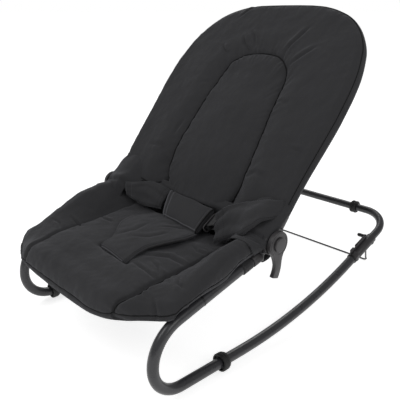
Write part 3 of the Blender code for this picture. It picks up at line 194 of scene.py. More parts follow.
def new_material(name):
    made = bpy.data.materials.new(name)
    made.use_nodes = True
    tree = made.node_tree
    tree.nodes.clear()
    return made, tree


def combined(tree, operation, first, second):
    return add(tree, "ShaderNodeMath", {0: first, 1: second}, operation=operation).outputs[0]


def cloud_noise(tree, coords, scale, detail):
    return add(tree, "ShaderNodeTexNoise", {"Vector": coords.outputs["Object"], "Scale": scale,
                                            "Detail": detail})


def yarn_bands(tree, coords, way, pitch, distortion, **more):
    """Light and dark bands across one way of the cloth's UV, which is in metres"""
    return add(tree, "ShaderNodeTexWave",
               {"Vector": coords.outputs["UV"], "Scale": 2 * math.pi / (20 * pitch),
                "Distortion": distortion, **more},
               wave_type="BANDS", bands_direction=way).outputs["Fac"]


def bump(tree, height, strength, distance, **more):
    return add(tree, "ShaderNodeBump", {"Height": height, "Strength": strength,
                                        "Distance": distance, **more}).outputs["Normal"]


def surface(tree, value, colour, spread, normal, inputs):
    """A finish whose colour varies a little about its mean with a 0 to 1 value"""
    ramp = add(tree, "ShaderNodeValToRGB", {"Fac": value})
    for element, place, factor in zip(ramp.color_ramp.elements, (0.32, 0.68),
                                      (1 - spread, 1 + spread)):
        element.color = (*[min(c * factor, 1) for c in colour], 1)
        element.position = place
    shader = add(tree, "ShaderNodeBsdfPrincipled",
                 {"Base Color": ramp.outputs["Color"], "Normal": normal, **inputs})
    add(tree, "ShaderNodeOutputMaterial", {"Surface": shader.outputs["BSDF"]})


def cloth(name, colour, yarn, depth, rough=0.86, sheen=0.22):
    """Plain weave: warp and weft run along the cloth's own UV, in metres"""
    made, tree = new_material(name)
    coords = add(tree, "ShaderNodeTexCoord")
    warp, weft = [yarn_bands(tree, coords, way, yarn, 0.35,
                             **{"Detail": 1.0, "Detail Scale": 0.4}) for way in "XY"]
    weave = combined(tree, "MULTIPLY", warp, weft)
    slub, cloudy = [cloud_noise(tree, coords, scale, detail).outputs["Fac"]
                    for scale, detail in ((260.0, 3.0), (14.0, 2.0))]
    mean = combined(tree, "MULTIPLY", combined(tree, "ADD", slub, cloudy), 0.5)
    grain = bump(tree, slub, 0.18, 0.0006)
    surface(tree, mean, colour, 0.07, bump(tree, weave, depth, 0.00025, Normal=grain),
            {"Roughness": rough, "Sheen Weight": sheen, "Sheen Roughness": 0.45,
             "Sheen Tint": (0.92, 0.93, 1.0, 1.0), "Specular IOR Level": 0.35})
    return made


def ribbed_webbing(name, colour, rib):
    """Narrow woven tape: cross ribs, a finer warp and a soft sheen"""
    made, tree = new_material(name)
    coords = add(tree, "ShaderNodeTexCoord")
    ribs = yarn_bands(tree, coords, "Y", rib, 0.4, Detail=1.0)
    warp = yarn_bands(tree, coords, "X", rib * 0.5, 0.2)
    lint = cloud_noise(tree, coords, 420.0, 2.0).outputs["Fac"]
    surface(tree, lint, colour, 0.12, bump(tree, combined(tree, "ADD", ribs, warp), 0.6, 0.0003),
            {"Roughness": 0.72, "Sheen Weight": 0.15, "Sheen Roughness": 0.4})
    return made


def coated(name, colour, rough, grain, depth, metallic=0.0):
    """Moulded or coated surface: fine grain, faint clouds in colour and gloss"""
    made, tree = new_material(name)
    coords = add(tree, "ShaderNodeTexCoord")
    fine = cloud_noise(tree, coords, 1.0 / grain, 2.0)
    fine.inputs["Roughness"].default_value = 0.55
    cloudy = cloud_noise(tree, coords, 34.0, 4.0).outputs["Fac"]
    gloss = add(tree, "ShaderNodeMapRange",
                {"Value": cloudy, "From Min": 0.3, "From Max": 0.7,
                 "To Min": rough - 0.05, "To Max": rough + 0.06})
    surface(tree, cloudy, colour, 0.05, bump(tree, fine.outputs["Fac"], depth, grain * 0.25),
            {"Roughness": gloss.outputs["Result"], "Metallic": metallic})
    return made


FINISHES = {}


def make_finishes(scene):
    sizes, colours = scene.bouncer_sizes, scene.bouncer_colours
    FINISHES.update({
        "tube_paint": coated("satin powder coat", tuple(colours.paint), 0.29, 0.0009, 0.08),
        "black_plastic": coated("black nylon", tuple(colours.plastic), 0.42, 0.0006, 0.12),
        "black_rubber": coated("moulded rubber", tuple(colours.rubber), 0.62, 0.0007, 0.25),
        "hinge_plastic": coated("grained nylon", tuple(colours.hinge), 0.44, 0.0005, 0.22),
        "zinc_steel": coated("zinc plated steel", tuple(colours.steel), 0.34, 0.0008, 0.1, 1.0),
        "cover_fabric": cloth("woven polyester", tuple(colours.cover), sizes.weave, 0.35,
                              sheen=0.16),
        # Lighter bluish tape: a bound edge, partly a painted highlight
        "edge_tape": cloth("bound edge", tuple(colours.tape), 0.0008, 0.35, sheen=0.2),
        # Near-black seam thread: painted shade along the seams as well as the thread itself
        "seam_thread": cloth("seam thread and painted shade", tuple(colours.seam), 0.0006, 0.3, 0.9, 0.05),
        "strap_webbing": ribbed_webbing("belt webbing", tuple(colours.strap), sizes.webbing),
    })
    slots = {part["node"]: part["material_slot"] for part in frame["record"]["subparts"]}
    for name, node in frame["nodes"].items():
        for place in node.material_slots:
            place.material = FINISHES[slots[name]]


# ---------------------------------------------------------------- geometry helpers

def mm(value):
    """Millimetres, alone or in tables, as metres"""
    if isinstance(value, dict):
        return {key: mm(item) for key, item in value.items()}
    if isinstance(value, (list, tuple)):
        return type(value)(mm(item) for item in value)
    return value / 1000


def fan(table):
    """Pairs of an angle in degrees and a distance in millimetres"""
    return [(angle, mm(distance)) for angle, distance in table]


def at(x, y, z):
    """A point given from the left foot ring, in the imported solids' frame"""
    return Vector((x, y - ORIGIN_Y, z))


def side(x, flat):
    return at(x, flat[0], flat[1])


def flat_way(direction):
    return Vector((0, *direction))


def back_at(x, along, front=0.0):
    """A point of the back: along it from the hinge, and in front of its plane"""
    return side(x, in_view(BACK_VIEW, along, front))


def rail_at(x, along):
    return side(x, in_view(RAIL_VIEW, along))


def riser_at(along, up=0.0):
    return in_view(RISER_VIEW, along, up)


def arc(centre, radius, start, end, steps):
    return [(centre[0] + radius * math.cos(start + (end - start) * i / steps),
             centre[1] + radius * math.sin(start + (end - start) * i / steps))
            for i in range(steps + 1)]


def smooth(value, low, high):
    share = np.clip((value - low) / (high - low), 0, 1)
    return share * share * (3 - 2 * share)


def bell(value, wide):
    """1 at nought, falling off softly to both sides"""
    return np.exp(-(value / wide) ** 2)


def cusp(value, wide):
    """1 at nought, falling off at once to both sides, like cloth at a seam"""
    return np.exp(-np.abs(value) / wide)


def rounding(gap, reach):
    """Section of a rounded edge: 0 at the edge, 1 from the reach on"""
    return np.sqrt(np.maximum(1 - (1 - np.clip(gap / reach, 0, 1)) ** 2, 0))


def curve_through(table, values):
    """Smooth monotone reading of an increasing table of pairs"""
    xs = np.array([p[0] for p in table], float)
    ys = np.array([p[1] for p in table], float)
    step = np.diff(xs)
    slope = np.diff(ys) / step
    lean = np.zeros(len(xs))
    lean[0], lean[-1] = slope[0], slope[-1]
    for i in range(1, len(xs) - 1):
        if slope[i - 1] * slope[i] > 0:
            w1, w2 = 2 * step[i] + step[i - 1], step[i] + 2 * step[i - 1]
            lean[i] = (w1 + w2) / (w1 / slope[i - 1] + w2 / slope[i])
    v = np.clip(np.asarray(values, float), xs[0], xs[-1])
    k = np.clip(np.searchsorted(xs, v) - 1, 0, len(step) - 1)
    t = (v - xs[k]) / step[k]
    return ((2 * t ** 3 - 3 * t ** 2 + 1) * ys[k] + (t ** 3 - 2 * t ** 2 + t) * step[k] * lean[k]
            + (3 * t ** 2 - 2 * t ** 3) * ys[k + 1] + (t ** 3 - t ** 2) * step[k] * lean[k + 1])


def by_column(values, places):
    """Smooth reading of a row of values at fractional places"""
    return curve_through(list(enumerate(values)), places)


def line_through(points, count):
    """Smooth line through a few given points"""
    places = np.linspace(0, len(points) - 1, count)
    return np.stack([by_column([p[k] for p in points], places)
                     for k in range(len(points[0]))], axis=1)


def linked(name, data):
    """A new object of the scene with its mesh, lamp or camera"""
    made = bpy.data.objects.new(name, data)
    bpy.context.scene.collection.objects.link(made)
    return made


def piece(name, verts, faces, finish, uv=None, sharp=None):
    """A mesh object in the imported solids' frame, faces outwards"""
    mesh = bpy.data.meshes.new(name)
    mesh.from_pydata([tuple(v) for v in verts], [], faces)
    shape = bmesh.new()
    shape.from_mesh(mesh)
    if uv is not None:
        layer = shape.loops.layers.uv.new("cloth")
        for face in shape.faces:
            for loop in face.loops:
                loop[layer].uv = uv[loop.vert.index]
    bmesh.ops.recalc_face_normals(shape, faces=shape.faces)
    for face in shape.faces:
        face.smooth = True
    shape.to_mesh(mesh)
    shape.free()
    mesh.materials.append(FINISHES[finish])
    if sharp:
        mesh.set_sharp_from_angle(angle=math.radians(sharp))
    return linked(name, mesh)


def box_uv(made):
    """UV in metres, laid on each face from the side that it faces most"""
    mesh = made.data
    layer = mesh.uv_layers.get("cloth") or mesh.uv_layers.new(name="cloth")
    for face in mesh.polygons:
        n = [abs(c) for c in face.normal]
        drop = n.index(max(n))
        keep = [c for c in range(3) if c != drop]
        for index in face.loop_indices:
            co = mesh.vertices[mesh.loops[index].vertex_index].co
            layer.data[index].uv = (co[keep[0]], co[keep[1]])


def applied(made):
    """Turn the modifiers into plain mesh"""
    graph = bpy.context.evaluated_depsgraph_get()
    mesh = bpy.data.meshes.new_from_object(made.evaluated_get(graph))
    made.modifiers.clear()
    old = made.data
    made.data = mesh
    bpy.data.meshes.remove(old)
    return made


def merge(name, pieces):
    """One object from several"""
    first = pieces[0]
    if len(pieces) > 1:
        with bpy.context.temp_override(active_object=first, object=first,
                                       selected_objects=pieces,
                                       selected_editable_objects=pieces):
            bpy.ops.object.join()
    first.name = name
    first.data.name = name
    return first


def bevelled(made, width, segments, angle):
    bevel = made.modifiers.new("edges", "BEVEL")
    bevel.width = width
    bevel.segments = segments
    bevel.limit_method = "ANGLE"
    bevel.angle_limit = math.radians(angle)


def tube_faces(rows, columns):
    """Faces of a closed tube of points, given ring after ring"""
    made = []
    for i in range(rows - 1):
        for j in range(columns):
            k = (j + 1) % columns
            made.append((i * columns + j, i * columns + k, (i + 1) * columns + k,
                         (i + 1) * columns + j))
    return made + [tuple(range(columns)), tuple(range((rows - 1) * columns, rows * columns))]


def lathe(name, profile, centre, axis, finish, steps=64, ring=True):
    """(along, radius) points turned about an axis; a ring's profile is closed"""
    axis = Vector(axis).normalized()
    first = axis.orthogonal().normalized()
    second = axis.cross(first)
    verts, faces = [], []
    count = len(profile)
    for i in range(steps):
        a = 2 * math.pi * i / steps
        spoke = first * math.cos(a) + second * math.sin(a)
        verts += [centre + axis * along + spoke * radius for along, radius in profile]
    for i in range(steps):
        j = (i + 1) % steps
        for k in range(count if ring else count - 1):
            n = (k + 1) % count
            faces.append((i * count + k, j * count + k, j * count + n, i * count + n))
    if not ring:
        faces.append(tuple(i * count for i in range(steps)))
        faces.append(tuple(i * count + count - 1 for i in range(steps)))
    return piece(name, verts, faces, finish, sharp=40)


def slab(name, outline, one_x, other_x, edge=0.0006):
    """A side-view outline drawn out along x in the hinges' plastic, with rounded edges"""
    count = len(outline)
    verts = [side(x, p) for x in sorted((one_x, other_x)) for p in outline]
    faces = [(k, (k + 1) % count, count + (k + 1) % count, count + k) for k in range(count)]
    faces += [tuple(range(count)), tuple(range(count, 2 * count))]
    made = piece(name, verts, faces, "hinge_plastic")
    bevelled(made, edge, 3, 35)
    applied(made)
    made.data.set_sharp_from_angle(angle=math.radians(50))
    return made


# ---------------------------------------------------------------- geometry nodes

def node_tree(name, sockets):
    """An empty geometry tree with named inputs; returns it with its two ends"""
    tree = bpy.data.node_groups.new(name, "GeometryNodeTree")
    tree.interface.new_socket("Geometry", in_out="INPUT", socket_type="NodeSocketGeometry")
    for label, kind in sockets.items():
        tree.interface.new_socket(label, in_out="INPUT", socket_type="NodeSocket" + kind)
    tree.interface.new_socket("Geometry", in_out="OUTPUT", socket_type="NodeSocketGeometry")
    return tree, add(tree, "NodeGroupInput"), add(tree, "NodeGroupOutput")


def close_tree(tree, start, end, shape):
    """Smooth faces, real geometry and a material at a tree's end"""
    soft = add(tree, "GeometryNodeSetShadeSmooth", {"Geometry": shape})
    real = add(tree, "GeometryNodeRealizeInstances", {"Geometry": soft.outputs[0]})
    painted = add(tree, "GeometryNodeSetMaterial",
                  {"Geometry": real.outputs[0], "Material": start.outputs["Finish"]})
    tree.links.new(painted.outputs[0], end.inputs[0])
    return tree


def tube_tree():
    """A round tube or cord along a drawn line"""
    tree, start, end = node_tree("Tube along a line", {
        "Radius": "Float", "Sides": "Int", "Finish": "Material"})
    line = add(tree, "GeometryNodeMeshToCurve", {"Mesh": start.outputs["Geometry"]})
    ring = add(tree, "GeometryNodeCurvePrimitiveCircle",
               {"Resolution": start.outputs["Sides"], "Radius": start.outputs["Radius"]})
    skin = add(tree, "GeometryNodeCurveToMesh",
               {"Curve": line.outputs[0], "Profile Curve": ring.outputs[0],
                "Fill Caps": True})
    return close_tree(tree, start, end, skin.outputs[0])


def stitch_tree():
    """A row of single stitches along a drawn line"""
    tree, start, end = node_tree("Row of stitches", {
        "Pitch": "Float", "Length": "Float", "Thread": "Float", "Finish": "Material"})
    line = add(tree, "GeometryNodeMeshToCurve", {"Mesh": start.outputs["Geometry"]})
    dots = add(tree, "GeometryNodeCurveToPoints",
               {"Curve": line.outputs[0], "Length": start.outputs["Pitch"]}, mode="LENGTH")
    bead = add(tree, "GeometryNodeMeshUVSphere", {"Segments": 8, "Rings": 5, "Radius": 0.5})
    size = add(tree, "ShaderNodeCombineXYZ",
               {"X": start.outputs["Length"], "Y": start.outputs["Thread"],
                "Z": start.outputs["Thread"]})
    turn = add(tree, "FunctionNodeAlignRotationToVector",
               {"Vector": dots.outputs["Tangent"]}, axis="X")
    row = add(tree, "GeometryNodeInstanceOnPoints",
              {"Points": dots.outputs["Points"], "Instance": bead.outputs["Mesh"],
               "Rotation": turn.outputs[0], "Scale": size.outputs[0]})
    return close_tree(tree, start, end, row.outputs[0])


def shading_tree():
    """Smooth shading with sharp edges kept by their angle"""
    tree, start, end = node_tree("Shade smooth by angle", {})
    angle = add(tree, "GeometryNodeInputMeshEdgeAngle")
    flat = add(tree, "FunctionNodeCompare",
               {0: angle.outputs["Unsigned Angle"], 1: math.radians(34)},
               data_type="FLOAT", operation="LESS_EQUAL")
    faces = add(tree, "GeometryNodeSetShadeSmooth", {"Geometry": start.outputs["Geometry"]})
    edges = add(tree, "GeometryNodeSetShadeSmooth",
                {"Geometry": faces.outputs[0], "Shade Smooth": flat.outputs[0]},
                domain="EDGE")
    tree.links.new(edges.outputs[0], end.inputs[0])
    return tree


TREES = {}


def grown(name, tree, paths, values, looped=False):
    """Run a tree on drawn lines and keep the plain mesh"""
    verts, edges = [], []
    for path in paths:
        base = len(verts)
        verts += [tuple(p) for p in path]
        edges += [(base + i, base + i + 1) for i in range(len(path) - 1)]
        if looped:
            edges.append((len(verts) - 1, base))
    mesh = bpy.data.meshes.new(name)
    mesh.from_pydata(verts, edges, [])
    made = linked(name, mesh)
    modifier = made.modifiers.new(name, "NODES")
    modifier.node_group = TREES[tree]
    sockets = {s.name: s.identifier for s in TREES[tree].interface.items_tree
               if s.in_out == "INPUT"}
    for label, value in values.items():
        modifier[sockets[label]] = value
    return applied(made)


def tube(name, path, radius, finish, looped=False, sides=None):
    count = sides or bpy.context.scene.bouncer_sizes.tube_sides
    return grown(name, "tube", [path], {"Radius": radius, "Sides": count,
                                        "Finish": FINISHES[finish]}, looped)


def cord(name, path, radius, finish="seam_thread", looped=False, sides=8):
    """A seam cord, near black by default as painted shade in the seam's groove, or the bound edge
    of a cloth piece
    """
    return tube(name, path, radius, finish, looped, sides)


def stitches(name, paths, looped=False, finish="seam_thread"):
    sizes = bpy.context.scene.bouncer_sizes
    return grown(name, "stitch", paths,
                 {"Pitch": sizes.stitch_pitch, "Length": sizes.stitch_length,
                  "Thread": sizes.thread, "Finish": FINISHES[finish]}, looped)


# ---------------------------------------------------------------- tubes and rings

def dress(made, node=None, body="base"):
    """Hand a finished piece to its body; it stands for this solid"""
    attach(made, body)
    if node:
        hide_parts(node)
    return made


def turned(node, ending, profile, centre, axis, finish, steps, ring=True, body="base"):
    """A turned piece that stands for one solid"""
    made = lathe(node + ending, profile, centre, axis, finish, steps, ring)
    return dress(made, node, body)


def painted(node, line, radius, sides=None):
    """A bent tube or rod that stands for one solid"""
    dress(tube(node + "_paint", line, radius, "tube_paint", sides=sides), node)


def make_tubes():
    for name, sign in SIDES.items():
        path = [riser_at(-0.0015)] + arc(HIGH_CENTRE, HIGH_R, math.pi / 2 + SLOPE, math.pi, 22)
        path += arc(LOW_CENTRE, LOW_R, math.pi, 1.5 * math.pi, 24)[1:]
        path += arc(ROCKER_CENTRE, ROCKER_R, 1.5 * math.pi, 1.5 * math.pi + ROCKER_RISE, 20)
        path.append(in_view(RAIL_VIEW, -0.0033))
        painted("side_tube_" + name, [side(sign * HALF, p) for p in path], RAIL_R)
        path = [riser_at(along) for along in (0.0015, 0.06, 0.1279)]
        painted("seat_tube_" + name, [side(sign * HALF, p) for p in path], RAIL_R)
    corner = (HALF - REAR_BEND_R, BAR_AT - REAR_BEND_R)
    flat = [(HALF, JOINT_LEN - 0.0297)] + arc(corner, REAR_BEND_R, 0, math.pi / 2, 26)
    flat += [(-x, along) for x, along in reversed(flat)]
    painted("rear_tube", [rail_at(x, along) for x, along in flat], REAR_R)


def make_front_bow():
    """The front bow, held just inside the cover's front hem"""
    half = mm([(193.2, -98, 131.5), (187, -100, 135), (170, -113, 140), (145, -131, 139),
               (110, -145, 133), (60, -150, 130), (0, -150.5, 129.5)])
    line = half + [(-x, y, z) for x, y, z in reversed(half[:-1])]
    painted("front_bow", [at(*p) for p in line_through(line, 120)], BOW_R, sides=20)


def make_rings():
    """Foot rings, bumper rings and the collars at both ends of the riser and the rail"""
    half, bore, outer = 0.00775, RAIL_R + GAP, RIDE
    recess = bore + 0.0032
    foot = [(-half, recess), (-half, outer - 0.0012), (0.0003 - half, outer - 0.0005),
            (0.0012 - half, outer), (-0.0018, outer), (-0.0012, outer - 0.0006),
            (-0.0002, outer - 0.0006), (0.0004, outer - 0.0001), (half - 0.005, outer - 0.0002),
            (half - 0.0016, outer - 0.0018), (half - 0.0004, outer - 0.0026),
            (half, outer - 0.0036), (half, bore), (0.004 - half, bore), (0.0034 - half, recess)]
    for name, y in (("left", 0.0), ("right", -0.084)):
        turned("foot_ring_" + name, "_rubber", foot, at(SIDES[name] * HALF, y, RIDE), (0, 1, 0),
               "black_rubber", 72)
    half, bore, outer = 0.0065, REAR_R + GAP, 0.0135
    low, lip = outer - 0.0018, outer - 0.0006
    bumper = [(-half, bore), (-half, low), (0.0005 - half, lip), (0.0016 - half, outer),
              (-0.0026, outer), (-0.0018, lip), (-0.0008, low)]
    bumper += [(-along, radius) for along, radius in reversed(bumper)]
    inner, edge = 0.0076, RAIL_R + 0.0004
    band = mm([(-1.2, 0), (-1.2, -0.2), (-0.9, 0), (0.9, 0), (1.2, -0.2), (1.2, 0)])
    band = [(a, inner if k in (0, 5) else edge + b) for k, (a, b) in enumerate(band)]
    collar = [(-0.0015, inner), (-0.0015, RAIL_R + 0.0008), (-0.001, RAIL_R + 0.0012),
              (0.0009, JOINT_R + 0.0003), (0.0015, JOINT_R), (0.0015, inner)]
    for name, sign in SIDES.items():
        turned("bumper_ring_" + name, "_rubber", bumper, rail_at(sign * 0.114, BAR_AT),
               (1, 0, 0), "black_rubber", 64)
        turned("splice_ring_" + name, "_band", band, side(sign * HALF, SPLICE),
               flat_way(RISER_DIR), "black_plastic", 48)
        turned("joint_ring_" + name, "_collar", collar, rail_at(sign * HALF, -0.00165),
               flat_way(RAIL_DIR), "black_rubber", 48)


def make_stand():
    """The wire stand: arms that lean in to a foot bar, flattened eyes on the pins"""
    down = Vector((STAND_FOOT[0] - PIVOT[0], STAND_FOOT[1] - PIVOT[1]))
    length = down.length
    foot_view = (PIVOT, down.normalized(), (0, 0))
    corner, top, bend = (0.149, length), (STAND_EYE_X, 0.0036), 0.011
    lean = Vector((corner[0] - top[0], corner[1] - top[1])).normalized()
    swing = math.atan2(lean.y, -lean.x)
    tangent = bend * math.tan((math.pi - swing) / 2)
    centre = (corner[0] - tangent, length - bend)
    first = Vector(corner) - lean * tangent
    start = math.atan2(first.y - centre[1], first.x - centre[0])
    flat = [top] + arc(centre, bend, start, math.pi / 2, 18)
    flat += [(-x, along) for x, along in reversed(flat)]
    line = [side(x, in_view(foot_view, along)) for x, along in flat]
    pieces = [tube("stand_wire_line", line, WIRE_R, "tube_paint", sides=20)]
    ring = mm([(-2.1, 2.4), (-2.1, 4.4), (-1.5, 4.9), (1.5, 4.9), (2.1, 4.4), (2.1, 2.4)])
    for name, sign in SIDES.items():
        pieces.append(lathe("stand_eye_" + name, ring, side(sign * STAND_EYE_X, PIVOT),
                            (1, 0, 0), "tube_paint", 40))
    dress(merge("stand_wire_paint", pieces), "stand_wire", "stand")


def moulding(node, parts, body="base"):
    """A moulded piece of several shapes that stands for one solid"""
    dress(merge(node + "_moulding", parts), node, body)


def make_rail_joints():
    """Moulded joint: sleeve, notched rib, lug with its boss and the stand's stop"""
    axis, square = Vector(RAIL_DIR), Vector(RAIL_UP)
    lug = Vector(PIVOT) - Vector(JOINT_START)
    lug = (lug.dot(axis), lug.dot(square))
    down = Vector((STAND_FOOT[0] - PIVOT[0], STAND_FOOT[1] - PIVOT[1])).normalized()
    sleeve = [(0, 0.0082), (0, JOINT_R - 0.0008), (0.0008, JOINT_R), (0.012, JOINT_R),
              (0.0126, JOINT_R - 0.0004), (0.0134, JOINT_R - 0.0004), (0.014, JOINT_R),
              (JOINT_LEN - 0.0016, JOINT_R), (JOINT_LEN - 0.0005, JOINT_R - 0.0005),
              (JOINT_LEN, JOINT_R - 0.0012), (JOINT_LEN, REAR_R + GAP),
              (JOINT_LEN - 0.03, REAR_R + GAP), (JOINT_LEN - 0.03, 0.0082)]
    rib = mm([(2, 4), (5, 16.6), (15.75, 16.6), (15.75, 11.6), (22.25, 11.6), (22.25, 16.6),
              (56, 16.6), (68, 4)])
    arm = [(0.05, -0.006)] + arc(lug, 0.0065, math.radians(-100), math.radians(70), 24)
    arm.append((JOINT_LEN - 0.002, -0.0045))
    stop = mm([(5.5, 2.3), (15, 2.3), (15, 5.5), (4, 7.5), (0.5, 5.5)])
    stop = [in_view((PIVOT, down, (-down.y, down.x)), *p) for p in stop]
    eye = STAND_EYE_X + STAND_EYE_HALF + GAP
    boss = [(0, 0.0023), (0, 0.0034), (0.0006, 0.0039), (HALF - JOINT_R - eye + 0.002, 0.0039)]
    knob = mm([(0, 2.2), (0, 3.9), (12, 3.9), (13.6, 3.6), (15, 2.7), (15.6, 1)])
    head = mm([(-0.6, 3.3), (0.3, 3.3), (0.9, 2.7), (1, 1.8), (0.2, 1.3), (0.2, 0.1)])
    head = [(JOINT_R + along, radius) for along, radius in head]
    lean = math.radians(35)
    for name, sign in SIDES.items():
        x = sign * HALF
        inner, rib_x = x - sign * JOINT_R, x - sign * 0.004
        parts = [lathe("sleeve", sleeve, rail_at(x, 0), flat_way(RAIL_DIR), "hinge_plastic", 64),
                 slab("rib", [in_view(RAIL_VIEW, *p) for p in rib], rib_x - 0.002,
                      rib_x + 0.002),
                 slab("lug", [in_view(RAIL_VIEW, *p) for p in arm], inner, inner + sign * 0.006,
                      0.0008),
                 lathe("boss", boss, side(sign * eye, PIVOT), (sign, 0, 0), "hinge_plastic", 40,
                       ring=False),
                 slab("stop", stop, sign * 0.178, inner + sign * 0.003)]
        moulding("rail_joint_" + name, parts)
        turned("stand_cap_" + name, "_knob", knob,
               side(sign * (STAND_EYE_X - STAND_EYE_HALF - GAP), PIVOT), (-sign, 0, 0),
               "black_plastic", 40, ring=False)
        out = flat_way(RAIL_UP) * -math.sin(lean) + Vector((sign * math.cos(lean), 0, 0))
        for number, place in enumerate((0.0062, 0.064), start=1):
            turned(f"joint_screw_{name}_{number}", "_head", head, rail_at(x, place), out,
                   "black_plastic", 32, ring=False)


# ---------------------------------------------------------------- recline hinges

def make_hinges():
    """Housing and seat tube socket, the half on the back tube, lever and centre cap"""
    housing = mm([(0, 6), (0, 21.3), (0.5, 22.5), (1.5, 23), (16, 23), (16.5, 22.6), (16.5, 6)])
    seat_socket = [(0, RAIL_R + GAP)] + mm([(0, 10.45), (0.4, 11), (1.2, 11.25), (19.2, 11.25),
                                            (19.2, 1)])
    neck = [riser_at(*p) for p in mm([(117, 8), (117, -8), (128, -10.5), (132, -14), (138, -14),
                                      (140, -6)])]
    neck += [(AXIS[0] + 0.018, AXIS[1] - 0.01), (AXIS[0] - 0.016, AXIS[1] + 0.006)]
    arm = mm([(0, 7.6), (0, 21.1), (0.4, 21.5), (14.2, 21.5), (15, 20.8), (15, 7.6)])
    arm_neck = [in_view(BACK_VIEW, *p) for p in mm([(6, -15), (27.2, -9.7), (27.2, 9.7),
                                                    (6, 15)])]
    back_socket = mm([(26, 2), (26, 10), (26.6, 10.25), (48.8, 10.25), (49.7, 9.8), (50, 9.2),
                      (50, 8.3), (28.5, 8.3), (28.5, 2)])
    handle = mm([(-10.4, -22.5), (-7.8, -29), (-6.3, -35.8), (-7.2, -43), (-9.8, -50),
                 (-12.2, -54.6), (-11.6, -56), (0, -59.8), (1.6, -59.2), (4.8, -52), (7, -45),
                 (8, -38.5), (8.6, -31), (10, -24)])
    lever = arc(AXIS, 0.0215, math.radians(-52), math.radians(232), 72)
    lever += [(AXIS[0] + a, AXIS[1] + b) for a, b in handle]
    rim = mm([(0, 17), (0, 18.6), (1, 19.2), (1.2, 18.6), (0.8, 17.2)])
    hub = mm([(0, 3.4), (0, 7.1), (6, 7.1), (6, 3.4)])
    cap = mm([(-1.2, 10), (-1.2, 12.5), (1.2, 12.5), (2, 12.1), (2.5, 11.2), (2.6, 10),
              (2.9, 6), (3, 0.5)])
    for name, sign in SIDES.items():
        def disc(label, profile, x, steps):
            return lathe(label, profile, side(sign * x, AXIS), (sign, 0, 0), "hinge_plastic",
                         steps)
        moulding("hinge_housing_" + name, [
            disc("disc", housing, 0.19, 96),
            lathe("socket", seat_socket, side(sign * HALF, riser_at(0.111)),
                  flat_way(RISER_DIR), "hinge_plastic", 48, ring=False),
            slab("neck", neck, sign * 0.1935, sign * 0.2065, 0.001)])
        moulding("hinge_arm_" + name, [
            disc("disc", arm, 0.2072, 96),
            slab("neck", arm_neck, sign * 0.2072, sign * 0.2222, 0.001),
            lathe("socket", back_socket, side(sign * BACK_TUBE_X, AXIS), flat_way(BACK_DIR),
                  "hinge_plastic", 48)], "back")
        moulding("release_lever_" + name, [
            slab("plate", lever, sign * 0.2266, sign * 0.234, 0.0013),
            disc("rim", rim, 0.2334, 80), disc("hub", hub, 0.2212, 40)], "lever_" + name)
        turned("hinge_cap_" + name, "_disc", cap, side(sign * 0.2355, AXIS), (sign, 0, 0),
               "hinge_plastic", 80, ring=False, body="lever_" + name)


def make_springs():
    """The coil behind each locking cone"""
    start, end, stroke, wire, coil = 0.1935, 0.2003, 0.004, 0.0007, 0.0074
    turns, steps = 4, 24
    for name, sign in SIDES.items():
        path = []
        for k in range(turns * steps + 1):
            a = 2 * math.pi * k / steps
            x = start + wire + (end - start - 2 * wire) * k / (turns * steps)
            path.append(at(sign * x, AXIS[0] + coil * math.cos(a), AXIS[1] + coil * math.sin(a)))
        made = tube("gear_spring_" + name + "_coil", path, wire, "zinc_steel", sides=10)
        dress(made, "gear_spring_" + name)
        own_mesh(made)


def make_hardware():
    """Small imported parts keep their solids: rounded edges and soft shading"""
    for name, node in frame["nodes"].items():
        if name in ("buckle_body", "buckle_tongue"):
            bevelled(node, 0.0006, 2, 50)
        soften = node.modifiers.new("soft shading", "NODES")
        soften.node_group = TREES["shading"]


# ---------------------------------------------------------------- cloth surfaces

def grid_faces(rows, columns, offset=0, flip=False):
    made = []
    for i in range(rows - 1):
        for j in range(columns - 1):
            a = offset + i * columns + j
            quad = (a, a + 1, a + columns + 1, a + columns)
            made.append(tuple(reversed(quad)) if flip else quad)
    return made


def grid_normals(grid):
    du = np.gradient(grid, axis=0)
    dv = np.gradient(grid, axis=1)
    n = np.cross(du, dv)
    return n / np.maximum(np.linalg.norm(n, axis=2, keepdims=True), 1e-12)


def spans(grid, axis):
    """Distance run along one axis of a grid, in metres, from its middle"""
    step = np.linalg.norm(np.diff(grid, axis=axis), axis=2)
    run = np.concatenate([np.zeros_like(np.take(step, [0], axis=axis)),
                          np.cumsum(step, axis=axis)], axis=axis)
    return run - np.take(run, [run.shape[axis] // 2], axis=axis)


def shell(name, outer, inner, finish):
    """Closed cloth piece between two grids of the same size"""
    rows, columns = outer.shape[:2]
    verts = np.concatenate([outer.reshape(-1, 3), inner.reshape(-1, 3)])
    base = rows * columns
    faces = grid_faces(rows, columns) + grid_faces(rows, columns, base, flip=True)
    rim = [i * columns for i in range(rows)]
    rim += [(rows - 1) * columns + j for j in range(1, columns)]
    rim += [i * columns + columns - 1 for i in range(rows - 2, -1, -1)]
    rim += list(range(columns - 2, 0, -1))
    for a, b in zip(rim, rim[1:] + rim[:1]):
        faces.append((a, b, base + b, base + a))
    uv = np.stack([spans(outer, 1), spans(outer, 0)], axis=2).reshape(-1, 2)
    uv = np.concatenate([uv, uv]).tolist()
    return piece(name, verts.tolist(), faces, finish, uv=uv)


def clouds(grid, scale, seed):
    """Smooth random field over a grid, about -1 to 1"""
    shift = Vector((seed * 7.3, seed * 3.1, seed * 5.7))
    flat = [noise.noise(Vector(p) * scale + shift) for p in grid.reshape(-1, 3).tolist()]
    return np.array(flat).reshape(grid.shape[:2])


def uneven(grid, *layers):
    """Random fields added up, each given by its height, scale and seed"""
    return sum(height * clouds(grid, scale, seed) for height, scale, seed in layers)


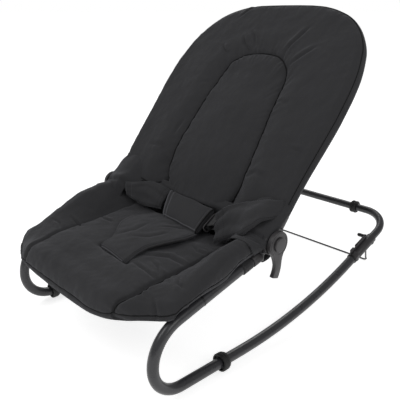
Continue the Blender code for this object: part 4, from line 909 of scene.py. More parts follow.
def segment_distance(points, a, b):
    """Distance to a segment and the share run along it, for an array of flat points"""
    a, b = np.array(a), np.array(b)
    run = b - a
    share = np.clip(((points - a) @ run) / (run @ run), 0, 1)
    gap = points - (a + share[..., None] * run)
    side_of = np.sign(run[0] * (points[..., 1] - a[1]) - run[1] * (points[..., 0] - a[0]))
    return np.linalg.norm(gap, axis=-1), share, side_of


def fold(points, line, depth, width):
    """A crease along a line with a soft ridge on one side, in metres of height"""
    best = np.full(points.shape[:2], 1e9)
    along, lean = np.zeros_like(best), np.zeros_like(best)
    total = len(line) - 1
    for i in range(total):
        gap, share, side_of = segment_distance(points, line[i], line[i + 1])
        near = gap < best
        best = np.where(near, gap, best)
        along = np.where(near, (i + share) / total, along)
        lean = np.where(near, side_of, lean)
    fade = np.clip(np.minimum(along, 1 - along) * 3.5 + 0.15, 0, 1) ** 0.8
    ridge = 0.8 * bell(best - width * 1.1, width * 0.8) * (lean > 0)
    ridge += 0.35 * bell(best - width * 1.2, width) * (lean <= 0)
    return depth * fade * (ridge - bell(best, width * 0.45))


def folds(points, table):
    """Height of all folds of a table: its rows hold three points, the depth and the width"""
    return sum(fold(points, list(zip(row[0:6:2], row[1:6:2])), row[6], row[7])
               for row in table)


def line_distance(points, line, closed=False):
    """Distance from each flat point to a line of many short stretches"""
    line = np.array(line)
    if closed:
        line = np.vstack([line, line[:1]])
    best = np.full(points.shape[:2], 1e9)
    for a, b in zip(line[:-1], line[1:]):
        run = b - a
        share = np.clip(((points - a) @ run) / max(run @ run, 1e-12), 0, 1)
        gap = points - (a + share[..., None] * run)
        best = np.minimum(best, np.einsum("ijk,ijk->ij", gap, gap))
    return np.sqrt(best)


def puckers(run, gap, depth, reach, pitch, seed):
    """Small gathers that run away from a seam: run is along it, gap across it"""
    phase = run / pitch * 2 * math.pi
    wave = np.sin(phase + 1.9 * np.sin(phase * 0.37 + seed) + seed)
    wave += 0.6 * np.sin(phase * 0.53 + 2.1 * seed)
    return depth * wave * cusp(gap, reach) * (1 - cusp(gap, 0.0015))


# ---------------------------------------------------------------- seat cover

# Heights from the floor against y, then distances from the front bend's centre against
# the angle past upright
SEAM_LINE = mm([(-76.2, 166), (-12, 170), (55, 177.5), (88, 183)])
TOP_LINE = mm([(-76.2, 178), (-33, 197), (2, 211), (42, 217), (88, 219)])
HEM_LINE = mm([(-76.2, 156.3), (-57.5, 159.4), (-26.8, 162.9), (-5.5, 167.1), (27.2, 184.9),
               (78.5, 192.8), (88, 194)])
SEAM_FAN = fan([(0, 96.8), (26, 100.8), (44, 114.5), (52, 113), (62, 104)])
TOP_FAN = fan([(0, 108.8), (14, 100.3), (34, 98.4), (46, 95.1), (62, 92)])
HEM_FAN = fan([(0, 87.1), (14, 85), (62, 84.5)])
# Across the cover: x, end angle and end distance at the left, the same at the right
COLUMNS = np.array([
    (0, 62, 104, 62, 104), (35, 62, 103.5, 62, 103.8), (70, 61.5, 102.5, 61.5, 103.2),
    (105, 59, 100.5, 61, 102.2), (135, 54, 97.5, 60, 100.3), (141, 52.5, 96.3, 59.7, 99.8),
    (147, 51, 95, 59.4, 99.2), (158, 48, 92.5, 58.7, 98.1), (176, 40.5, 85, 55.5, 94),
    (193, 33, 80.5, 51, 89.3), (204, 29, 80, 43, 85), (213.5, 26, 84, 34, 85),
    (216.5, 25, 85.5, 28, 84.5), (210.5, 24.5, 83.8, 24, 83.8)]) / (1000, 1, 1000, 1, 1000)
# From the cover's edge to its border seam
BORDER = 0.0095
PAD_T = 0.014
SEAM_COLUMN = 5
SEAM_AT = {}


def seam_column(places=None):
    """Number of the grid column that the side panel's seam runs along"""
    if places is not None:
        SEAM_AT["column"] = int(np.argmin(np.abs(places - SEAM_COLUMN)))
    return SEAM_AT["column"]


def seat_outside(seam, top, hem, sag):
    """Heights of the fourteen columns of the outer face"""
    middle = seam - sag
    return [middle, middle + 0.001, middle + 0.003, middle + 0.004,
            seam + 0.0022 - sag * 0.2, seam - 0.0008, seam + 0.0015,
            seam + (top - seam) * 0.28 + 0.001, seam + (top - seam) * 0.72, top,
            top - 0.0008, top - 0.0065, hem + (top - hem) * 0.42, hem]


def seat_inside(seam, hem, sag, tube_top, share):
    """(x, height) of the fourteen columns of the inner face, round the tube inside it"""
    middle = seam - sag - PAD_T
    low = np.minimum(seam - PAD_T, tube_top - 0.003 + share * 0.01)
    xs = mm((0, 35, 70, 105, 133, 139, 145, 155, 172, 190, 194.5, 202.5, 207.8, 209.6))
    heights = [middle, middle + 0.001, middle + 0.002, middle + 0.002, seam - PAD_T,
               seam - PAD_T - 0.001, seam - PAD_T - 0.0012, (seam - PAD_T + low) / 2, low,
               tube_top - 0.009 + share * 0.006, tube_top - 0.0005, tube_top + 0.0018,
               (tube_top + 0.0016 + hem) / 2, hem - 0.0004]
    return xs, heights


def spread(anchors, count, weight_points):
    """Even places along a row of anchors, as shares of the anchors' numbers"""
    step = np.linalg.norm(np.diff(weight_points, axis=0), axis=1)
    run = np.concatenate([[0], np.cumsum(step)])
    return np.interp(np.linspace(0, run[-1], count), run, anchors)


def seat_grids(half_columns=92, rear_rows=78, front_rows=72):
    """Outer and inner face of the seat cover, forwards and then down round the front bend"""
    xs = COLUMNS[:, 0]
    reference = np.array(list(zip(xs, seat_outside(0.17, 0.2, 0.16, 0.0))))
    places = spread(range(14), half_columns, reference)
    places[seam_column(places)] = SEAM_COLUMN
    outer, inner = [], []
    for t in np.linspace(0.088, HIGH_CENTRE[0], rear_rows):
        seam, top, hem = (float(curve_through(line, t))
                          for line in (SEAM_LINE, TOP_LINE, HEM_LINE))
        sag = 0.009 * float(smooth(t, 0.02, 0.08))
        tube_top = SPLICE[1] + RISER_DIR[1] * ((t - SPLICE[0]) / RISER_DIR[0]) + RAIL_R
        for rows, (across, heights) in (
                (outer, (xs, seat_outside(seam, top, hem, sag))),
                (inner, seat_inside(seam, hem, sag, tube_top, 0.0))):
            x, z = by_column(across, places), by_column(heights, places)
            line = np.stack([x, np.full_like(x, t), z], axis=1)
            rows.append(np.vstack([line[:0:-1] * (-1, 1, 1), line]))
    for t in np.linspace(0, 1, front_rows + 1)[1:]:
        k = np.clip((t - 0.45) / 0.55, 0, 1)
        tuck = math.sqrt(max(1 - k ** 2.2, 0))
        halves = []
        for sign, first, drift, widening in ((-1, 3, 0.004, 0.0125), (1, 1, 0.013, 0)):
            angle = by_column(COLUMNS[:, first], places) * t
            hems = by_column(COLUMNS[:, first + 1], places)
            x = by_column(xs, places) - drift * smooth(t, 0.45, 1.0) * bell(places - 5, 1.6)
            x = x + widening * smooth(t, 0.4, 0.95) * (places / 13) ** 2
            outside, inside = [], []
            for place, turn, end in zip(places, angle, hems):
                seam, top, hem = (float(curve_through(line, turn))
                                  for line in (SEAM_FAN, TOP_FAN, HEM_FAN))
                reach = by_column(seat_outside(seam, top, hem, 0.0), [place])[0]
                outside.append(end + (reach - end) * tuck)
                across, reaches = seat_inside(seam, hem, 0.0, HIGH_R + RAIL_R,
                                              float(smooth(turn, 0, 28)))
                reach = by_column(reaches, [place])[0]
                inside.append((by_column(across, [place])[0],
                               reach + (end - 0.0022 - reach) * k ** 2))
            a = np.radians(angle)
            halves.append([np.stack([sign * wide, HIGH_CENTRE[0] - np.sin(a) * reach,
                                     HIGH_CENTRE[1] + np.cos(a) * reach], axis=1)
                           for wide, reach in ((x, np.array(outside)), np.array(inside).T)])
        for rows, right, left in zip((outer, inner), *halves):
            rows.append(np.vstack([right[:0:-1], left]))
    return np.array(outer), np.array(inner)


def clear_of_hinge(grid, radius):
    """Push cloth beside a hinge out of the room that the hinge turns in"""
    y = grid[..., 1] - AXIS[0]
    z = grid[..., 2] - AXIS[1]
    gap = np.hypot(y, z)
    share = smooth(np.abs(grid[..., 0]), 0.174, 0.186) * (gap < radius)
    scale = 1 + (radius / np.maximum(gap, 1e-6) - 1) * share
    grid[..., 1] = AXIS[0] + y * scale
    grid[..., 2] = AXIS[1] + z * scale
    return grid


# x and y of three points, the depth and the width of each fold, in mm
SEAT_FOLDS = mm([
    (169.8, -113.3, 193, -125, 213.6, -129.8, 2.2, 4.5),
    (171, -65.4, 183, -76, 196.3, -80, 2, 4),
    (62.9, -71.3, 103.1, -76.3, 136.2, -81.7, 2.2, 5),
    (81.9, -47.9, 110, -57, 135, -72.1, 2, 5), (56.8, -44, 94.4, -20.7, 136.7, -22.3, 3, 7),
    (-136.6, -0.7, -118, -6, -96.7, -3.5, 2.8, 4.5),
    (-165.3, -52.8, -145, -50, -122.6, -52.8, 2.2, 4.5), (150, 10, 166, 2, 190, 6, 1.8, 5),
    (-150, -85, -165, -78, -188, -80, 1.6, 5), (90, 35, 115, 23, 138, 26, 2, 6)])


def edge_run(points):
    """Distance from the cover's hems and front edge, along the cloth"""
    across = spans(points, 1)
    along = spans(points, 0)
    near = across[:, -1:] - across
    far = across - across[:, :1]
    front = along[-1:, :] - along
    return near, far, front


def make_seat_cover():
    outer, inner = seat_grids()
    plan = outer[..., :2].copy()
    near, far, front = edge_run(outer)
    normal = grid_normals(outer)
    if normal[10, outer.shape[1] // 2, 2] < 0:
        normal = -normal
    lift = folds(plan, SEAT_FOLDS)
    x = outer[..., 0]
    middle, j = outer.shape[1] // 2, seam_column()
    seam_gap = np.where(x > 0, x - x[:, middle + j][:, None], x[:, middle - j][:, None] - x)
    run = spans(outer, 0)
    depth = bpy.context.scene.bouncer_sizes.seam_depth
    lift -= depth * 0.9 * cusp(seam_gap, 0.003) * smooth(front, 0.004, 0.03)
    lift += puckers(run, seam_gap, 0.001, 0.012, 0.019, 1.3) * (0.7 + 0.3 * np.sign(x))
    border = np.minimum(np.minimum(near, far), front)
    lift -= 0.0014 * cusp(border - BORDER, 0.0013)
    lift += 0.0006 * bell(border - 0.0045, 0.003)
    lift += puckers(np.where(front < near, spans(outer, 1), run), border - BORDER,
                    0.0006, 0.007, 0.013, 2.2)
    lift += uneven(outer, (0.0016, 22, 1), (0.0008, 55, 2), (0.0004, 120, 3))
    # the slot that the crotch pad comes out of
    gap = segment_distance(plan, (-0.034, -0.068), (0.0574, -0.0786))[0]
    lift -= 0.0055 * bell(gap, 0.0055)
    fade = smooth(border, 0.0, 0.004)
    outer = outer + normal * (lift * (0.25 + 0.75 * fade))[..., None]
    outer = clear_of_hinge(outer, 0.0252) - (0, ORIGIN_Y, 0)
    inner = clear_of_hinge(inner, 0.024) - (0, ORIGIN_Y, 0)
    cover = shell("seat_cover", outer, inner, "cover_fabric")
    dress(cover, "seat_pad")
    seat_trim(outer, normal, near, far, front)


def level_point(points, lift, field, inward):
    """Where a field that grows inwards first passes the border's distance on a row"""
    for a, b in zip(inward, inward[1:]):
        if field[a] <= BORDER < field[b]:
            share = (BORDER - field[a]) / (field[b] - field[a])
            return points[a] * (1 - share) + points[b] * share + lift[a] * 0.0002
    return None


def seat_trim(outer, normal, near, far, front):
    """Near-black seam cords beside the side panels and round the border, as painted shade in the
    seam grooves
    """
    rows, columns = outer.shape[:2]
    middle, j = columns // 2, seam_column()
    pieces = []
    for name, column in (("left", middle + j), ("right", middle - j)):
        # Thick near-black cords: painted shade along the side panels' seams
        line = (outer[:, column] + normal[:, column] * 0.0009)[front[:, column] > BORDER]
        pieces.append(cord("seat_seam_" + name, line, 0.0013))
    rim = [level_point(outer[i], normal[i], near[i], range(columns - 1, middle, -1))
           for i in range(4, rows) if front[i, columns - 3] > BORDER]
    rim += [level_point(outer[:, c], normal[:, c], front[:, c], range(rows - 1, rows // 3, -1))
            for c in range(columns - 1, -1, -1) if min(near[-10, c], far[-10, c]) > BORDER]
    rim += [level_point(outer[i], normal[i], far[i], range(middle))
            for i in range(rows - 1, 3, -1) if front[i, 2] > BORDER]
    pieces.append(cord("seat_border_seam", [p for p in rim if p is not None], 0.0009))
    dress(merge("seat_cover_seams", pieces))


# ---------------------------------------------------------------- back cover

# Along the back from the hinge: half width of the outline, its height in front of the
# tube's plane, then the sewn oval's half width and height
OUTLINE = mm([(28, 222.5), (128, 226), (184, 228.5), (238, 231), (269, 231), (305, 229),
              (362, 217), (377, 211), (404.5, 193), (422.6, 175), (437.2, 154), (446.8, 132),
              (455, 105), (460, 68), (461.2, 30), (461.4, 0.1)])
EDGE_FRONT = mm([(28, -2), (100, 0), (210, -4.6), (300, -4.6), (362, -3), (420, 3), (461.4, 7)])
OVAL = mm([(4, 0.2), (7, 18), (13, 37), (22, 58), (30, 74), (40, 86), (55, 93.5), (80, 99),
           (110, 99.5), (150, 96.5), (228, 89.5), (268, 85), (295, 81), (314, 74), (331, 59),
           (340, 44), (345, 25), (346.5, 0.2)])
# Lower end of the back's right side panel
PANEL_END = mm([(-220.5, 70), (-208, 56.5), (-170, 35.6), (-145.5, 27), (-126.6, 24.5),
                (-110, 29), (-96, 40.4), (-87.8, 50.6)])
OVAL_FRONT = mm([(4, -12.5), (30, -11.5), (60, -6.5), (90, -1.5), (126, 3), (175, 5), (228, 6),
                 (268, 4), (295, 3), (314, 5), (331, 7), (346.5, 7)])
# The same, with the distance along the back in place of y
BACK_FOLDS = mm([
    (-67.5, 377.8, -52, 360, -34.7, 346.9, 2.6, 5), (-52, 393, -38, 380, -26.2, 360, 2, 4.5),
    (-111, 354.8, -100, 344, -85, 334.9, 2.4, 5.5),
    (-107.6, 427.5, -96, 442, -83.5, 458.1, 1.8, 5),
    (53.7, 348.7, 70, 378, 84.5, 407.2, 2.4, 6), (79.3, 324.2, 101, 342, 122, 364.1, 2.4, 6),
    (174.6, 159, 188, 159, 201, 154.7, 1.6, 4),
    (-111, 174.2, -115, 155, -115.7, 136.8, 1.8, 6), (101, 90, 130, 102, 160, 95, 2.2, 7),
    (-101, 90, -130, 105, -165, 100, 2.4, 7), (88, 242, 105, 246, 122, 239, 1.4, 5),
    (-88, 260, -102, 266, -118, 261, 1.4, 5)])


BACK_GRID = {}


def oval_line(steps=90):
    """The sewn oval as (x, along), right round"""
    low, high = OVAL[0][0], OVAL[-1][0]
    along = low + (high - low) * (1 - np.cos(np.linspace(0, math.pi, steps))) / 2
    line = list(zip(curve_through(OVAL, along), along))
    return line + [(-h, w) for h, w in reversed(line)]


def outline_line(steps=120):
    """The padded outline from the left foot over the top to the right foot"""
    share = np.sin(np.linspace(0, math.pi / 2, steps))
    along = BACK_LOW + (BACK_HIGH - BACK_LOW) * share
    line = list(zip(curve_through(OUTLINE, along), along))
    return line + [(-h, w) for h, w in reversed(line[:-1])]


def back_front(w, edge, oval, inside):
    """Height of the back's front face over the plane of its tube"""
    rim = curve_through(EDGE_FRONT, w)
    seam = curve_through(OVAL_FRONT, w)
    puff = seam + (0.0158 - seam) * np.sin(np.clip(oval / 0.048, 0, 1) * math.pi / 2)
    puff = puff - 0.002 * smooth(w, 0.3, 0.42)
    outer = rim + (puff - rim) * rounding(edge, 0.015)
    inner = seam + 0.0048 * (1 - cusp(oval, 0.016)) + 0.0022 * smooth(oval, 0.02, 0.08)
    height = np.where(inside, inner, outer)
    return height - 0.01 * (1 - smooth(w, BACK_LOW, 0.085)) * (~inside) * smooth(edge, 0, 0.05)


def back_point_grid(x, w, n):
    y, z = in_view(BACK_VIEW, w, n)
    return np.stack([x, y - ORIGIN_Y, z], axis=2)


def make_back_cover():
    share = np.linspace(0, 1, 190)
    along = 0.0225 + (0.4613 - 0.0225) * np.sin(share * math.pi / 2) ** 0.92
    q = np.linspace(-1, 1, 211)
    q = np.sign(q) * (1 - (1 - np.abs(q)) ** 1.12)
    half = np.where(along < BACK_LOW, 0.2225 * (0.8 + 0.2 * smooth(along, 0.01, BACK_LOW)),
                    curve_through(OUTLINE, along))
    w = np.repeat(along[:, None], len(q), axis=1)
    x = half[:, None] * q[None, :]
    plan = np.stack([x, w], axis=2)
    edge = line_distance(plan, outline_line())
    oval_gap = line_distance(plan, oval_line(), closed=True)
    inside = (np.abs(x) < curve_through(OVAL, w)) & (w > OVAL[0][0]) & (w < OVAL[-1][0])
    front = back_front(w, edge, oval_gap, inside)
    depth = bpy.context.scene.bouncer_sizes.seam_depth
    front -= depth * 0.9 * cusp(oval_gap, 0.003)
    front -= depth * 0.8 * cusp(line_distance(plan, PANEL_END), 0.0045)
    front += folds(plan, BACK_FOLDS)
    turn = np.arctan2(w - 0.175, x * 1.6) * 0.135
    front += puckers(turn, oval_gap * np.where(inside, -1, 1), 0.0011, 0.013, 0.0175, 0.7)
    front += puckers(turn, edge - 0.003, 0.0005, 0.008, 0.012, 1.9) * smooth(edge, 0, 0.004)
    base = back_point_grid(x, w, front)
    soft = smooth(edge, 0.0, 0.02)
    front += uneven(base, (0.0017, 20, 4), (0.0009, 50, 5), (0.0004, 110, 6)) * soft
    front -= 0.001 * cusp(edge - 0.0032, 0.001)
    rear = curve_through(EDGE_FRONT, w) * (1 - soft) - 0.0122 * rounding(edge, 0.0125)
    rear += 0.007 * smooth(edge, 0.024, 0.07) - 0.001 * cusp(edge - 0.024, 0.0016)
    rear += uneven(base, (0.001, 26, 7)) * soft
    rear = np.minimum(rear, front - 0.006 * smooth(edge, 0.0, 0.018))
    outer, inner = [clear_of_socket(back_point_grid(x, w, height)) for height in (front, rear)]
    BACK_GRID.update({"along": along, "half": half, "share": q, "front": front})
    cover = shell("back_cover", outer, inner, "cover_fabric")
    dress(cover, "back_pad", "back")
    make_back_trim()


def clear_of_socket(grid):
    """Keep the cover's lower corners off the hinge's moving half"""
    y = grid[..., 1] + ORIGIN_Y - AXIS[0]
    z = grid[..., 2] - AXIS[1]
    along = y * BACK_DIR[0] + z * BACK_DIR[1]
    beside = smooth(np.abs(grid[..., 0]), 0.176, 0.19) * (1 - smooth(along, 0.046, 0.056))
    push = np.maximum(0.052 - along, 0) * beside
    grid[..., 1] += BACK_DIR[0] * push
    grid[..., 2] += BACK_DIR[1] * push
    return grid


def on_back(line, lift=0.0):
    """Points of the back's plan laid on its finished front face"""
    made = []
    front = BACK_GRID["front"]
    for x, w in line:
        row = np.interp(w, BACK_GRID["along"], range(len(BACK_GRID["along"])))
        half = np.interp(w, BACK_GRID["along"], BACK_GRID["half"])
        column = np.interp(x / half, BACK_GRID["share"], range(len(BACK_GRID["share"])))
        i, j = min(int(row), front.shape[0] - 2), min(int(column), front.shape[1] - 2)
        a, b = row - i, column - j
        height = (front[i, j] * (1 - a) * (1 - b) + front[i + 1, j] * a * (1 - b)
                  + front[i, j + 1] * (1 - a) * b + front[i + 1, j + 1] * a * b)
        made.append(back_at(x, w, height + lift))
    return made


def inset(line, distance):
    """A line moved towards the middle of the back"""
    made = []
    for k, p in enumerate(line):
        a, b = line[max(k - 1, 0)], line[min(k + 1, len(line) - 1)]
        run = Vector((b[0] - a[0], b[1] - a[1])).normalized()
        made.append((p[0] - run.y * distance, p[1] + run.x * distance))
    return made


def make_back_trim():
    """Near-black piping round the back and seam cords in the oval and across the side panel, as
    painted shade along the seams
    """
    piping = bpy.context.scene.bouncer_sizes.piping
    rim = [p for p in inset(outline_line(150), 0.0026) if p[1] > 0.062]
    oval = [p for p in oval_line(120) if p[1] > 0.0235]
    end = line_through(PANEL_END, 40)
    pieces = [cord("back_rim_seam", on_back(rim, 0.0003), piping / 3, sides=10),
              cord("back_oval_seam", on_back(oval, 0.0007), 0.0013),
              cord("back_panel_seam", on_back(end, 0.0008), 0.0012)]
    dress(merge("back_cover_seams", pieces), body="back")


def make_crease():
    """Slack cloth in the crease between the seat and the back"""
    fold_line = mm([(86, 172), (92, 165), (101, 160), (113.5, 161.2), (126, 171.5),
                    (132.5, 186), (128.5, 200), (123.5, 211)])
    fold_line += [in_view(BACK_VIEW, *p) for p in mm([(28, -12.5), (42, -11.8)])]
    ys, zs = line_through(fold_line, 64).T
    x, y = np.meshgrid(np.linspace(-0.196, 0.196, 150), ys)
    grid = np.stack([x, y - ORIGIN_Y, np.zeros_like(x) + zs[:, None]], axis=2)
    normal = grid_normals(grid)
    wave = 0.0018 * np.sin(x * 190 + 3 * clouds(grid, 14, 8))
    wave = wave * np.sin(np.linspace(0, math.pi, 64))[:, None] ** 2
    grid = grid + normal * wave[..., None]
    made = shell("cover_crease_cloth", grid + normal * 0.0018, grid - normal * 0.0018,
                 "cover_fabric")
    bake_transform(made)
    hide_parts("cover_crease")


# Side cloth between the seat and the back, over the hinge: rows from the seat's bolster
# up to the back, first three as (x, y, z), then as (x, along the back, in front of it)
GUSSET_LOW = mm([
    [(165, 42, 205), (178, 40, 215), (192, 40, 217.8), (206, 41, 217), (217.8, 42, 211.5),
     (219.5, 45, 202.5), (218, 50.5, 194.2)],
    [(162, 66, 208), (176, 61, 220.5), (190, 61, 219.5), (205, 63.5, 217.5),
     (216.8, 66.5, 214), (223.6, 68.5, 209.2), (224.3, 71.2, 204.9)],
    [(145, 90, 220), (174, 74.5, 235.5), (190, 74.5, 233), (205, 77, 229),
     (216.8, 78.7, 225.7), (223.8, 81.5, 220.5), (224.6, 87.5, 215.5)]])
GUSSET_HIGH = mm([
    [(138, 26, 1), (172, 29, 20.5), (190, 29.5, 22.2), (205, 28.5, 21), (216.5, 27.5, 18.5),
     (224.7, 25.5, 13.5), (226.2, 23.6, 7.9)],
    [(138, 46, 2), (172, 51, 16), (190, 52, 17.2), (205, 51.5, 16.5), (216.5, 51, 15),
     (225.2, 50, 10.5), (227.5, 49, 4)],
    [(138, 62, 2), (172, 68, 10.5), (190, 70, 12.5), (205, 70, 11.5), (216.5, 69, 8.5),
     (224, 68, 3), (225, 66, -3)]])
def make_gussets():
    """Soft cloth over each hinge, from the seat's bolster to the back's edge"""
    anchors = [[at(*p) for p in row] for row in GUSSET_LOW]
    anchors += [[back_at(*p) for p in row] for row in GUSSET_HIGH]
    count = 72
    rows = [line_through(row, count) for row in anchors]
    grid = np.stack([line_through([row[k] for row in rows], count) for k in range(count)],
                    axis=1)
    run = np.linspace(0, 1, count)
    v, s = np.meshgrid(run, run)
    lift = sum(height * bell(s - place + lean * v, wide) for height, place, lean, wide in (
        (-0.003, 0.1, -0.08, 0.028), (0.0016, 0.19, -0.08, 0.04),
        (-0.0022, 0.3, 0.03, 0.03), (0.0012, 0.4, 0.03, 0.05)))
    lift = lift * np.sin(math.pi * np.clip(v * 1.15, 0, 1)) ** 0.6
    for name, sign in SIDES.items():
        skin = grid * (sign, 1, 1)
        if sign < 0:
            tuck = (1 - smooth(s, 0.12, 0.26)) * (1 - smooth(v, 0.35, 0.65))
            skin[..., 2] -= 0.018 * tuck
        normal = grid_normals(skin)
        if normal[36, 36, 2] < 0:
            normal = -normal
        wave = lift + 0.0012 * clouds(skin, 34, 21) * np.sin(math.pi * v)
        skin = skin + normal * wave[..., None]
        made = shell("cover_gusset_" + name + "_cloth", skin, skin - normal * 0.0012,
                     "cover_fabric")
        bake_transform(made)


# ---------------------------------------------------------------- crotch pad, roll and belt

# From the slot to the tunnel: y, z, half width and how far the left edge runs ahead
CROTCH_ROWS = mm([(-74.5, 160, 42, 5.2), (-71.2, 165, 44, 5.2), (-64, 168.8, 45, 5),
                  (-51, 172.4, 43, 4), (-34, 175.6, 47, 2), (-17, 178, 59, 1), (6, 180, 73.5, 0),
                  (32, 180, 80, 0), (52, 178.6, 78, 0), (64, 179, 69, 0), (76, 180, 62, 0)])
# How far the pad's front end sits to the left
CROTCH_SHIFT = 0.0095
CROTCH_FOLDS = mm([(5, -30, 30, -10, 44, 20, 1.4, 8), (-30, -40, -10, -10, -20, 30, 1.2, 9),
                   (12, 30, 30, 50, 52, 58, 1.4, 6)])
def padded_strip(name, grid, thick, edge=0.006):
    """Closed padded piece round a middle surface, thin at its edges; also its upper face"""
    normal = grid_normals(grid)
    if normal[..., 2].mean() < 0:
        normal = -normal
    across, along = spans(grid, 1), spans(grid, 0)
    gap = np.minimum(np.minimum(across - across[:, :1], across[:, -1:] - across),
                     np.minimum(along - along[:1], along[-1:] - along))
    pad = normal * ((rounding(gap, edge) * 0.78 + 0.22) * thick / 2)[..., None]
    return shell(name, grid + pad, grid - pad, "cover_fabric"), grid + pad


def make_crotch_pad():
    rows, columns = 96, 84
    ys, zs, halves, skew = line_through(CROTCH_ROWS, rows).T[..., None]
    s = np.linspace(-1, 1, columns)[None, :]
    x = halves * s + CROTCH_SHIFT * (1 - smooth(ys, -0.06, 0.0))
    y = ys - skew * s
    plan = np.stack([x, y], axis=2)
    lift = 0.003 * (1 - s ** 2) + 0.005 * np.clip(s, 0, 1) ** 3 * smooth(ys, -0.045, 0.005)
    grid = np.stack([x, y - ORIGIN_Y, zs + lift], axis=2)
    grid[..., 2] += folds(plan, CROTCH_FOLDS) + uneven(grid, (0.0013, 30, 9), (0.0006, 80, 10))
    made, top = padded_strip("crotch_pad_cloth", grid, 0.0085)
    dress(made, "crotch_pad")
    edges = [cord("crotch_binding", grid[2:, column] + (0, 0, 0.0006), 0.0018, "cover_fabric",
                  sides=10) for column in (0, columns - 1)]
    # The slot's tape and stitches take the lighter tape colour: painted highlight along the pad's
    # edge
    slot = [top[i, 6:columns - 6] for i in (6, 10)]
    edges.append(stitches("crotch_slot_stitches", slot, finish="edge_tape"))
    edges.append(cord("crotch_slot_tape", slot[0], 0.0007, "edge_tape"))
    edges.append(stitches("crotch_side_stitches", [top[8:, j] for j in (4, columns - 5)]))
    dress(merge("crotch_pad_trim", edges))


def power(value, exponent):
    """A power that keeps the sign: it squares off a round section"""
    return math.copysign(abs(value) ** exponent, value)


def make_roll():
    """The belt tunnel at the crotch pad's upper end: flattened, slack, with bound ends"""
    far_end, near_end = at(-0.0428, 0.0905, 0.2033), at(0.0703, 0.0852, 0.1993)
    far_half, near_half = Vector((-0.0138, 0.022, 0.0168)), Vector((-0.0066, 0.0296, 0.0128))
    axis = (near_end - far_end).normalized()
    length = (near_end - far_end).length
    rows, columns = 84, 110
    rings = []
    for i in range(rows):
        share = i / (rows - 1)
        gap = min(share, 1 - share) * length
        end = float(rounding(gap, 0.003))
        ditch = 0.0006 * math.exp(-((gap - 0.0075) / 0.0014) ** 2)
        wide_way = far_half.lerp(near_half, share)
        wide = wide_way.length * (0.94 + 0.06 * end) - ditch
        high = (0.0058 + 0.003 * math.sin(math.pi * share)) * (0.8 + 0.2 * end) - ditch
        wide_way = wide_way.normalized()
        up = axis.cross(wide_way).normalized()
        if up.z < 0:
            up = -up
        centre = far_end + axis * (length * share)
        rings.append([])
        for j in range(columns):
            a = 2 * math.pi * j / columns
            c, d = power(math.cos(a), 0.86), power(math.sin(a), 0.86)
            r = 1 + 0.05 * noise.noise(Vector((share * 4, c * 1.3, d * 1.3)))
            r += 0.022 * math.sin(share * 40 + 2.4 * c) * math.exp(-gap / 0.01)
            rings[-1].append(centre + wide_way * (c * wide * r) + up * (d * high * r))
    uv = [(length * (n // columns) / (rows - 1), 0.14 * (n % columns) / columns)
          for n in range(rows * columns)]
    made = piece("waist_roll_cloth", sum(rings, []), tube_faces(rows, columns), "cover_fabric",
                 uv=uv)
    dress(made, "waist_roll")
    # Far end in the lighter tape, near end in near black: the same binding with a painted
    # highlight on one end and painted shade on the other
    pieces = [cord("roll_binding", rings[i], 0.0015, finish, looped=True, sides=10)
              for i, finish in ((1, "edge_tape"), (rows - 2, "seam_thread"))]
    # Stitches, band and flap edge in the lighter tape: painted highlight along the roll
    pieces += [stitches("roll_stitches", [rings[i]], looped=True, finish="edge_tape")
               for i in (6, 9, rows - 6)]
    pieces.append(cord("roll_band", rings[8], 0.0008, "edge_tape", looped=True))
    low = [ring[47] for ring in rings[2:-2]]
    pieces.append(cord("roll_flap_edge", low, 0.0009, "edge_tape"))
    dress(merge("waist_roll_trim", pieces))


# Belt wings, from the strap's end to the back: (x, y, z) at the left from the foot ring
WINGS = mm({
    "left": {
        "inner": [(120, 59, 181.5), (106, 76, 202), (95, 89.5, 220.5)],
        "low": [(120, 59, 181.5), (154, 64, 201), (189.5, 54.5, 220.5), (200.5, 69.3, 234),
                (207, 82.4, 242), (216.5, 111.5, 243.5)],
        "top": [(95, 89.5, 220.5), (119, 93, 238.5), (148, 112.1, 249.2), (169, 114.5, 255.2),
                (195, 120.5, 261.5), (215, 126, 266.5)],
        "outer": [(216.5, 111.5, 243.5), (217, 118.5, 255), (215, 126, 266.5)]},
    "right": {
        "inner": [(58, 86, 190.5), (59, 100, 205), (58, 113, 218.5)],
        "low": [(58, 86, 190.5), (100, 77.5, 188), (150, 71.8, 199)],
        "top": [(58, 113, 218.5), (80, 110.5, 226), (105, 104.8, 230.3), (135, 85, 226),
                (161, 76, 222.5)],
        "outer": [(150, 71.8, 199), (156, 73, 210.5), (161, 76, 222.5)]}})


def bend_with_back(made):
    """Bake the piece's placement into its mesh; the whole wing stays in the scene's frame"""
    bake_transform(made)


